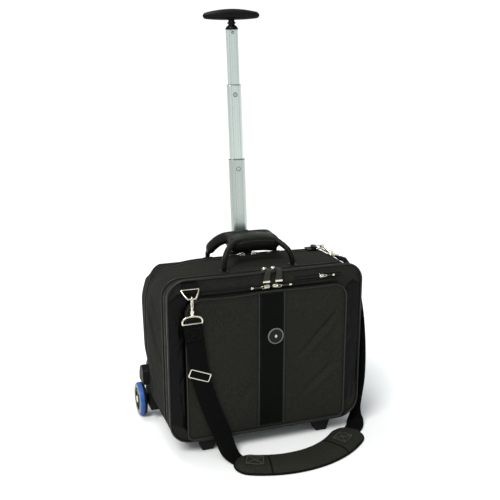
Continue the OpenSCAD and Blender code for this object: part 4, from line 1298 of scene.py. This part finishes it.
for L, x in (("l", 6), ("r", 25)):
    v, f = slider_mesh(T(x, -67, 371.9), 1.0, bail=False)
    v2 = []
    parts = [(v, f)]
    for s in (-1, 1):
        ear = [Vector((x + s * 4.2, yy, zz)) for yy, zz in ((-68.0, 375.4), (-70.5, 375.9), (-73.5, 376.6), (-75.4, 376.4))]
        parts.append(sweep(catmull(ear, 3), flat_section(3.4, 1.4, 3), across=Vector((0, 0, 1))))
    parts.append(sweep([Vector((x - 5.3, -73.5, 376.6)), Vector((x + 5.3, -73.5, 376.6))], circle(0.9, 12), across=Vector((0, 0, 1))))
    # domed crown over the slider
    dome = []
    M4 = T(x, -65.4, 375.4)
    prof = [(5.0, 0), (5.3, 1.0), (5.0, 2.3), (3.9, 3.5), (2.0, 4.3), (0.05, 4.5)]
    parts.append(lathe(prof, 28, M4))
    v, f = join(parts)
    make("slider_front_%s_metal" % L, v, f, CHROME, "zip_front_" + L, "hardware_metal", replaces=("slider_front_" + L,))
    body = "tab_front_" + L
    # eye round the pin and its shank
    eye = [(1.15, -3.0), (2.3, -3.0), (2.5, -2.6), (2.5, 2.6), (2.3, 3.0), (1.15, 3.0), (1.15, -3.0)]
    parts = [lathe(eye, 24, T(x, -73.5, 376.6) @ R("Y", 90))]
    sh = [Vector((x, yy, zz)) for yy, zz in ((-75.2, 377.2), (-78, 378.4), (-81.5, 379.6), (-85.5, 380.9))]
    parts.append(sweep(sh, flat_section(6.0, 2.4, 4), across=Vector((1, 0, 0))))
    bar_ = rounded_plate(15.6, 4.8, 3.4, 0, 1.5)
    parts.append(placed(bar_, T(x + (-12.5 if L == "l" else -4.5), -112.6, 363.6) @ R("X", 90) @ T(0, 0, -1.7)))
    v, f = join(parts)
    make("pull_%s_metal" % L, v, f, CHROME, body, "hardware_metal", replaces=("pull_front_" + L,))
    route = catmull([Vector((x, yy, zz)) for yy, zz in ((-82.5, 380.2), (-90, 382.6), (-99, 385.0), (-106, 385.8), (-109.8, 384.6), (-111.4, 381.2), (-111.9, 374), (-112.0, 364.8))], 6)
    for q_, p_ in enumerate(route):
        p_.x += (-12.5 if L == "l" else -4.5) * q_ / (len(route) - 1)
    n = len(route)
    vv, ff = [], []
    for i, p in enumerate(route):
        t = (route[min(i + 1, n - 1)] - route[max(i - 1, 0)]).normalized()
        nrm = Vector((1, 0, 0)).cross(t)
        if nrm.z < 0 or nrm.y > 0.2:
            nrm = -nrm
        w = 9.0 + (14.6 - 9.0) * i / (n - 1)
        for (a, b) in flat_section(w, 2.2, 4):
            vv.append(p + Vector((a, 0, 0)) + nrm * b)
    k = len(flat_section(8, 2, 4))
    for i in range(n - 1):
        for j in range(k):
            ff.append((i * k + j, i * k + (j + 1) % k, (i + 1) * k + (j + 1) % k, (i + 1) * k + j))
    ff += [tuple(range(k)), tuple((n - 1) * k + j for j in range(k))]
    make("pull_%s_tab" % L, vv, ff, PULL, body, "pull_leatherette")
    for sgn in (-1, 1):
        line, nr = [], []
        for i, p in enumerate(route[2:-1]):
            i += 2
            t = (route[min(i + 1, n - 1)] - route[max(i - 1, 0)]).normalized()
            nrm = Vector((1, 0, 0)).cross(t)
            if nrm.z < 0 or nrm.y > 0.2:
                nrm = -nrm
            w = 9.0 + (14.6 - 9.0) * i / (n - 1)
            line.append(p + Vector((sgn * (w / 2 - 1.4), 0, 0)) + nrm * 1.0)
            nr.append(nrm)
        stitches("pull_%s_stitch_%s" % (L, "a" if sgn < 0 else "b"), line, nr, 1.9, 1.0, 0.22, body=body)

pull_flat("slider_rear_l_metal", T(0, 58, 371.9), -1, "zip_rear_l", "slider_rear_l")
pull_flat("slider_rear_r_metal", T(26, 58, 371.9), 1, "zip_rear_r", "slider_rear_r")
FACE = R("X", 90)
pull_flat("slider_pocket_l_metal", T(-3, -106.4, 351) @ FACE, -1, "zip_pocket_l", "slider_pocket_l")
pull_flat("slider_pocket_r_metal", T(15, -106.4, 351) @ FACE, 1, "zip_pocket_r", "slider_pocket_r")
pull_flat("slider_corner_metal", T(118, -106.4, 362) @ FACE, 1, "zip_corner", "slider_corner", 0.8)

# ---------------------------------------------------------------- badge: a plain dark dome in a light ring, with a small raised diamond
BZ = T(11, -121.0, 248) @ R("X", 90)
prof = [(0.02, 0), (16.0, 0), (16.9, 0.3), (17.2, 1.0), (17.2, 2.2), (16.9, 2.9), (16.2, 3.3), (15.2, 3.2), (14.6, 2.7)]
v, f = lathe(prof, 64, BZ)
make("badge_rim", v, f, BADGE_RING, slot="badge_plastic", replaces=("badge",))
prof = [(14.7, 2.0), (14.4, 2.5), (12, 3.0), (8, 3.5), (4, 3.8), (0.02, 3.9)]
v, f = lathe(prof, 64, BZ)
make("badge_dome", v, f, BADGE, slot="badge_plastic")
v = [BZ @ Vector(p) for p in ((0, 6.2, 3.35), (4.4, 0, 3.5), (0, -6.2, 3.35), (-4.4, 0, 3.5), (0, 0, 4.7))]
make("badge_diamond", v, [(0, 1, 4), (1, 2, 4), (2, 3, 4), (3, 0, 4)], BADGE_MARK, slot="badge_plastic", smooth=False)


# ---------------------------------------------------------------- strap rings, hooks and adjuster
def hoop(name, pts, r, mat, node, across, body="root", n=8, seg=14, extra=()):
    q = catmull(pts, n, True)
    part = sweep(q, circle(r, seg), across=across, closed=True)
    v, f = join([part] + list(extra))
    return make(name, v, f, mat, body, "hardware_metal", replaces=(node,) if node else ())


RL = [[-182, -111, 364.5], [-166, -111, 364.5], [-150, -111, 364.5], [-148.5, -112.5, 363], [-152, -119, 356.5], [-157, -125, 350.5], [-160, -126, 349.5], [-172, -126, 349.5], [-175, -125, 350.5], [-180, -119, 356.5], [-183.5, -112.5, 363]]
hoop("ring_left_wire", RL, 1.7, CHROME, "ring_l", Vector((0, -1, -1)))
RR = [[171, 40, 376], [171, 54, 376], [171, 68, 376], [173, 69.5, 376.2], [183, 67, 377.2], [191, 61, 378], [194, 54, 378], [191, 47, 378], [183, 41, 377.2], [173, 38.5, 376.2]]
hoop("ring_right_wire", RR, 1.7, CHROME, "ring_r", Vector((0, 0, 1)))


def hook(name, M4, turn, node):
    H = [[0, 0, 3.5], [3.2, 0, 2.4], [5, 0, -1.5], [5, 0, -7], [4, 0, -14], [2.4, 0, -20], [0, 0, -23], [-2.4, 0, -20], [-4, 0, -14], [-5, 0, -7], [-5, 0, -1.5], [-3.2, 0, 2.4]]
    A = M4 @ R("Z", turn)
    q = catmull(H, 6, True)
    n = len(q)
    sc = [1.0 + 0.45 * smoothstep(-8, -22, -(-p.z)) if False else 1.0 + 0.4 * smoothstep(8, 22, -p.z) for p in q]
    part = sweep(q, circle(1.8, 12), across=Vector((0, 1, 0)), closed=True, scale=sc)
    parts = [placed(part, A)]
    # gate with its thumb stud on one side
    gate = [Vector((-5.4, 0, z)) for z in (-2.0, -6, -10, -14)]
    parts.append(placed(sweep(gate, circle(1.5, 10), across=Vector((0, 1, 0)), scale=[0.9, 1.15, 1.15, 0.95]), A))
    parts.append(placed(lathe([(0.02, 0), (1.7, 0), (1.9, 0.5), (1.7, 1.6), (0.9, 2.1), (0.02, 2.2)], 16, T(-6.6, 0, -9) @ R("Y", -90)), A))
    # swivel barrel with a collar, and the ball above the loop
    prof = [(0.02, -22.6), (2.4, -22.8), (3.6, -23.6), (4.2, -25), (4.2, -29.2), (3.6, -30.2), (2.7, -30.8), (2.7, -31.6), (4.4, -32.4), (4.7, -33.6), (4.4, -34.8), (3.2, -35.8), (2.4, -36.4), (0.02, -36.8)]
    parts.append(placed(lathe(prof, 28, Matrix.Identity(4)), M4))
    D = [[-18, 0, -52], [-20, 0, -50], [-20, 0, -45], [-16, 0, -39.5], [-8, 0, -37], [0, 0, -36.5], [8, 0, -37], [16, 0, -39.5], [20, 0, -45], [20, 0, -50], [18, 0, -52], [0, 0, -52]]
    parts.append(placed(sweep(catmull(D, 5, True), circle(1.9, 12), across=Vector((0, 1, 0)), closed=True), M4))
    v, f = join(parts)
    return make(name, v, f, CHROME, "root", "hardware_metal", replaces=(node,))


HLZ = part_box("hook_l")[1][2] * 1000 - 5.3      # height of the left hook's eye
hl_top = min(350.5, max(346.0, HLZ))
HOOK_L = T(-166, -126, hl_top)
HOOK_R = T(184, 42.6, 377.6) @ R("Z", 18) @ R("X", -79) @ R("Z", 20)
hook_l = hook("hook_left", HOOK_L, 62, "hook_l")
hook_r = hook("hook_right", HOOK_R, 45, "hook_r")

AD = T(-153, -127, 186) @ R("Y", 22)
corners = [(-22, -8), (-20.6, -9.2), (0, -9.2), (20.6, -9.2), (22, -8), (22, 0), (22, 8), (20.6, 9.2), (0, 9.2), (-20.6, 9.2), (-22, 8), (-22, 0)]
part = placed(sweep([Vector((x, 0, z * 0.9)) for x, z in corners], circle(1.5, 10), across=Vector((0, 1, 0)), closed=True), AD)
mid = placed(sweep([Vector((-21.5, 0.6, 0)), Vector((0, 0.9, 0)), Vector((21.5, 0.6, 0))], circle(1.3, 10), across=Vector((0, 1, 0))), AD)
v, f = join([part, mid])
adj = make("strap_adjuster", v, f, CHROME, "root", "hardware_metal", replaces=("adjuster",))

# ---------------------------------------------------------------- shoulder strap
S_PTS = [
    [-166, -126, 295], [-165, -127, 283], [-162, -127, 262], [-158, -127, 230], [-154, -127, 200], [-150, -127, 175], [-140, -127, 140], [-125, -127, 95],
    [-110, -128, 55], [-102, -132, 30], [-96, -142, 12], [-88, -158, 4], [-76, -176, 4.5],
    [-50, -194, 5.5], [-15, -204, 5.5], [25, -209, 5.5], [65, -204, 5.5], [100, -193, 5.5], [135, -174, 5.5], [160, -155, 5.5],
    [182, -134, 3.5], [204, -112, 3], [214, -96, 8], [219, -88, 24], [220, -88, 50], [221, -93, 85], [222, -98, 120], [222.5, -98, 160], [222, -94, 210], [221, -84, 260],
    [220, -70, 305], [220, -50, 336], [214, -32, 355], [206, -18, 365], [200, -9, 368]]
S_ACR = [
    [1, 0, 0], [1, 0, 0], [1, 0, 0], [1, 0, 0], [1, 0, 0], [1, 0, 0.1], [1, 0, 0.3], [1, 0, 0.3],
    [1, 0, 0.3], [1, 0.1, 0.2], [1, 0.3, 0.1], [1, 0.8, 0], [0.6, 1, 0],
    [0.3, 1, 0], [0.2, 1, 0], [0, 1, 0], [-0.2, 1, 0], [-0.4, 1, 0], [-0.6, 1, 0], [-0.8, 1, 0],
    [-0.9, 0.9, 0], [-0.8, 1, 0], [-0.6, 1, 0.2], [-0.2, 1, 0], [0, 1, 0.2], [0, 1, 0.3], [0, 1, 0.1], [0, 1, -0.1], [0, 1, -0.2], [0, 1, -0.3],
    [0.1, 1, -0.4], [0.3, 1, -0.4], [0.7, 0.7, -0.5], [1, 0.3, -0.4], [1, 0.3, -0.4]]
S_PTS[0][2] = hl_top - 52.7
sp = catmull(S_PTS, 6)
sa = catmull(S_ACR, 6)
v, f = sweep(sp, flat_section(38, 2.0, 4), across=sa)
strap = make("shoulder_strap", v, f, WEB, "root", "webbing", replaces=("strap",))
length = sum((b - a).length for a, b in zip(sp, sp[1:])) / 1000


def along(pts, acr, d0, d1, off, n):
    """Points at distance d0..d1 mm along the strap, shifted off towards the camera side, and the across directions."""
    d = [0.0]
    for a, b in zip(pts, pts[1:]):
        d.append(d[-1] + (b - a).length)
    out, oa = [], []
    for i in range(n + 1):
        q = d0 + (d1 - d0) * i / n
        k = max(j for j in range(len(d)) if d[j] <= q + 1e-9)
        k = min(k, len(pts) - 2)
        fr = (q - d[k]) / max(1e-6, d[k + 1] - d[k])
        p = pts[k].lerp(pts[k + 1], fr)
        t = (pts[k + 1] - pts[k]).normalized()
        u = acr[k].lerp(acr[k + 1], fr)
        u = (u - t * u.dot(t)).normalized()
        w = t.cross(u)
        out.append(p + w * off)
        oa.append(u)
    return out, oa


# folded ends round the hook loops
def fold(name, d0, d1, off):
    p, a = along(sp, sa, d0, d1, off, 14)
    v, f = sweep(p, flat_section(37.4, 1.8, 4), across=a)
    return make(name, v, f, WEB, "root", "webbing")


total = length * 1000
side = 1
p0, a0 = along(sp, sa, 10, 12, 1, 1)
side = 1 if p0[0].y < sp[1].y else -1
fold_a = fold("strap_fold_left", 0.5, 34, 2.0 * side)
pl, al = along(sp, sa, total - 40, total - 1, 2.0, 10)
sr = 1 if pl[5].z > along(sp, sa, total - 40, total - 1, 0, 10)[0][5].z else -1
fold_b = fold("strap_fold_right", total - 36, total - 1, 2.0 * sr)


def cross_box(name, d0, d1, off, half, body="root", mat=None):
    """An X in a box of stitches on the strap between d0 and d1."""
    lines = [((d0, -half), (d0, half)), ((d1, -half), (d1, half)), ((d0, -half), (d1, -half)), ((d0, half), (d1, half)), ((d0, -half), (d1, half)), ((d0, half), (d1, -half))]
    parts = []
    for (qa, ha), (qb, hb) in lines:
        L = math.hypot(qb - qa, hb - ha)
        n = max(2, int(L / 3.6))
        for i in range(n):
            fa, fb = (i + 0.12) / n, (i + 0.8) / n
            row = []
            for fr, lift in ((fa, -0.2), ((fa + fb) / 2, 0.3), (fb, -0.2)):
                q, h = qa + (qb - qa) * fr, ha + (hb - ha) * fr
                p, a = along(sp, sa, q, q + 0.5, off + lift * (1 if off > 0 else -1), 1)
                row.append(p[0] + a[0] * h)
            dirn = (row[2] - row[0]).normalized()
            ac = dirn.cross(Vector((0.3, 0.5, 0.8)))
            parts.append(sweep(row, circle(0.32, 5), across=ac))
    v, f = join(parts)
    return make(name, v, f, mat or THREAD, body, "webbing")


xl = cross_box("strap_x_left", 8, 32, 3.1 * side, 14)
xr = cross_box("strap_x_right", total - 33, total - 8, 3.1 * sr, 14)

# ---------------------------------------------------------------- shoulder pad
PC, PR, PW = Vector((22.8, -3.8)), 205.0, 35.5
HALF = PR * math.radians(35)
NS, NV = 130, 24


def pad_half(s):
    a = abs(s) - HALF
    if a <= 0:
        return PW
    return math.sqrt(max(0.0, PW ** 2 - a ** 2))


def pad_xy(s, o):
    """Point at arc length s from the middle, o outward from the centreline."""
    sc = max(-HALF, min(HALF, s))
    a = math.radians(-80) + sc / PR
    c, si = math.cos(a), math.sin(a)
    p = PC + Vector((c, si)) * (PR + o)
    ex = s - sc
    return p + Vector((-si, c)) * ex


def pad_top(s, o):
    w = pad_half(s)
    e = min(max(0.0, w - abs(o)), max(0.0, HALF + PW - abs(s)) * 1.0)
    z = 4.2 + 10.2 * (1 - math.exp(-e / 9.0))
    # the cover is sewn across near the two ends and dips there
    for sx in (-89.0, 69.0):
        z -= 2.2 * math.exp(-((s - sx - 0.06 * o) / 2.2) ** 2)
    for sx in (-118.0, 102.0):
        z -= 0.7 * math.exp(-((s - sx) / 9.0) ** 2)
    z += 0.5 * nz(s, o, 1, 26) + 0.25 * nz(s, o, 9, 10)
    return z


verts, faces = [], []
svals = [-(HALF + PW) * math.cos(math.pi * i / NS) if False else (-(HALF + PW) + 2 * (HALF + PW) * i / NS) for i in range(NS + 1)]
svals = [-(HALF + PW) + 0.02, *[-(HALF + PW) + PW * (1 - math.cos(math.pi / 2 * i / 14)) for i in range(1, 14)], *[-HALF + 2 * HALF * i / 100 for i in range(101)], *[HALF + PW * math.sin(math.pi / 2 * i / 14) for i in range(1, 14)], HALF + PW - 0.02]
for s in svals:
    w = pad_half(s)
    ring = []
    for j in range(NV + 1):
        v_ = math.sin(math.pi / 2 * (-1 + 2 * j / NV))
        o = v_ * w
        x, y = pad_xy(s, o)
        ring.append((x, y, pad_top(s, o)))
    for j in range(NV, -1, -1):
        v_ = math.sin(math.pi / 2 * (-1 + 2 * j / NV))
        o = v_ * w * 0.985
        x, y = pad_xy(s, o)
        ring.append((x, y, 0.4 + 0.8 * (1 - min(1, (w - abs(o)) / 4)) if w > 4 else 0.9))
    verts += ring
kk = 2 * (NV + 1)
for i in range(len(svals) - 1):
    for j in range(kk):
        faces.append((i * kk + j, i * kk + (j + 1) % kk, (i + 1) * kk + (j + 1) % kk, (i + 1) * kk + j))
faces += [tuple(range(kk)), tuple((len(svals) - 1) * kk + j for j in range(kk))]
pad = make("shoulder_pad_cover", verts, faces, PADM, "root", "pad_fabric", replaces=("shoulder_pad",))
# binding round the edge
edge = [Vector((*pad_xy(s, pad_half(s)), 0)) for s in svals] + [Vector((*pad_xy(s, -pad_half(s)), 0)) for s in reversed(svals)]
clean = [edge[0]]
for p in edge[1:]:
    if (p - clean[-1]).length > 1.2:
        clean.append(p)
if (clean[0] - clean[-1]).length < 1.0:
    clean.pop()
clean = [Vector((p.x, p.y, 2.7)) for p in clean]
v, f = sweep(clean, circle(2.3, 10, 2.5), across=Vector((0, 0, 1)), closed=True)
bind = make("pad_binding", v, f, PADB, "root", "pad_fabric")
# stitch row just inside the binding
cen = []
for p in clean:
    cen.append(p)
inner, nr = [], []
for s in svals[6:-6]:
    w = pad_half(s) - 4.6
    x, y = pad_xy(s, w)
    inner.append(Vector((x, y, pad_top(s, w))))
stitches("pad_stitch_outer", inner, Vector((0, 0, 1)), 3.0, 1.6, 0.34)
inner = []
for s in svals[6:-6]:
    w = -(pad_half(s) - 4.6)
    x, y = pad_xy(s, w)
    inner.append(Vector((x, y, pad_top(s, w))))
stitches("pad_stitch_inner", inner, Vector((0, 0, 1)), 3.0, 1.6, 0.34)
# piping across the pad at its two seams
for nm, sx in (("left", -89.0), ("right", 69.0)):
    row = []
    for i in range(29):
        o = -33.5 + 67 * i / 28
        x, y = pad_xy(sx + 0.06 * o, o)
        row.append(Vector((x, y, pad_top(sx + 0.06 * o, o) + 1.1)))
    v, f = sweep(row, circle(1.5, 8), across=Vector((0, 0, 1)))
    make("pad_seam_" + nm, v, f, PADB, "root", "pad_fabric")
# webbing chapes sewn at the two ends, each with its crossed stitching
for nm, sc in (("left", -119.0), ("right", 101.0)):
    vv, ff = [], []
    n1, n2 = 16, 12
    for i in range(n1 + 1):
        s = sc - 20 + 40 * i / n1
        for j in range(n2 + 1):
            o = -18 + 36 * j / n2
            x, y = pad_xy(s, o)
            vv.append((x, y, pad_top(s, o) + 0.9))
    for i in range(n1):
        for j in range(n2):
            a = i * (n2 + 1) + j
            ff.append((a, a + 1, a + 1 + n2 + 1, a + n2 + 1))
    o_ = make("pad_patch_" + nm, vv, ff, PADM, "root", "pad_fabric")
    md = o_.modifiers.new("thick", "SOLIDIFY")
    md.thickness = 0.0011
    md.offset = 0
    parts = []
    for (sa_, oa_), (sb_, ob_) in (((-17, -15), (17, -15)), ((17, -15), (17, 15)), ((17, 15), (-17, 15)), ((-17, 15), (-17, -15)), ((-17, -15), (17, 15)), ((-17, 15), (17, -15))):
        row = []
        for i in range(13):
            s = sc + sa_ + (sb_ - sa_) * i / 12
            o = oa_ + (ob_ - oa_) * i / 12
            x, y = pad_xy(s, o)
            row.append(Vector((x, y, pad_top(s, o) + 1.5)))
        stitches("pad_x_%s_%d" % (nm, len(parts)), row, Vector((0, 0, 1)), 3.4, 0.8, 0.5, THREAD_LIGHT)
        parts.append(1)

# block for a small pale tag at the corner of the pocket; the tag is not made
v, f = block(150.5, 151.3, -121.5, -117.5, 73, 83)

# ---------------------------------------------------------------- floor, light and world
fm = Mat("floor_white", (0.90, 0.91, 0.92), 0.85, Specular_IOR_Level=0.1)
fn = fm.noise(3.0, 2)
fm.base(fm.mix(fn, (0.90, 0.91, 0.92), (0.92, 0.925, 0.93)))
me = bpy.data.meshes.new("floor")
sz = 60.0
me.from_pydata([(-sz, -sz, 0), (sz, -sz, 0), (sz, sz, 0), (-sz, sz, 0)], [], [(0, 1, 2, 3)])
me.materials.append(fm.m)
floor = bpy.data.objects.new("floor", me)
bpy.context.scene.collection.objects.link(floor)

w = bpy.data.worlds.new("studio")
bpy.context.scene.world = w
w.use_nodes = True
wt = w.node_tree
bg = wt.nodes["Background"]
bg.inputs["Color"].default_value = (0.93, 0.98, 1.0, 1)
bg.inputs["Strength"].default_value = 0.60
bright = wt.nodes.new("ShaderNodeBackground")
bright.inputs["Color"].default_value = (1, 1, 1, 1)
bright.inputs["Strength"].default_value = 1.05
lp = wt.nodes.new("ShaderNodeLightPath")
mixw = wt.nodes.new("ShaderNodeMixShader")
wt.links.new(lp.outputs["Is Camera Ray"], mixw.inputs[0])
wt.links.new(bg.outputs[0], mixw.inputs[1])
wt.links.new(bright.outputs[0], mixw.inputs[2])
wt.links.new(mixw.outputs[0], wt.nodes["World Output"].inputs["Surface"])


def area(name, loc, target, size, power, color=(1, 1, 1)):
    l = bpy.data.lights.new(name, "AREA")
    l.shape = "RECTANGLE"
    l.size, l.size_y = size
    l.energy = power
    l.color = color
    o = bpy.data.objects.new(name, l)
    o.location = loc
    d = Vector(target) - Vector(loc)
    o.rotation_euler = d.to_track_quat("-Z", "Y").to_euler()
    bpy.context.scene.collection.objects.link(o)
    return o


sun = bpy.data.lights.new("key", "SUN")
sun.energy = 2.5
sun.angle = math.radians(24)
sun.color = (1.0, 0.985, 0.95)
so = bpy.data.objects.new("key", sun)
so.location = (-2, -1.6, 2.6)
so.rotation_euler = (Vector((0, 0, 0)) - Vector((-0.50, -0.52, 0.86))).to_track_quat("-Z", "Y").to_euler()
bpy.context.scene.collection.objects.link(so)
area("top", (-0.5, 0.5, 2.2), (0, 0, 0.3), (0.9, 0.9), 14)
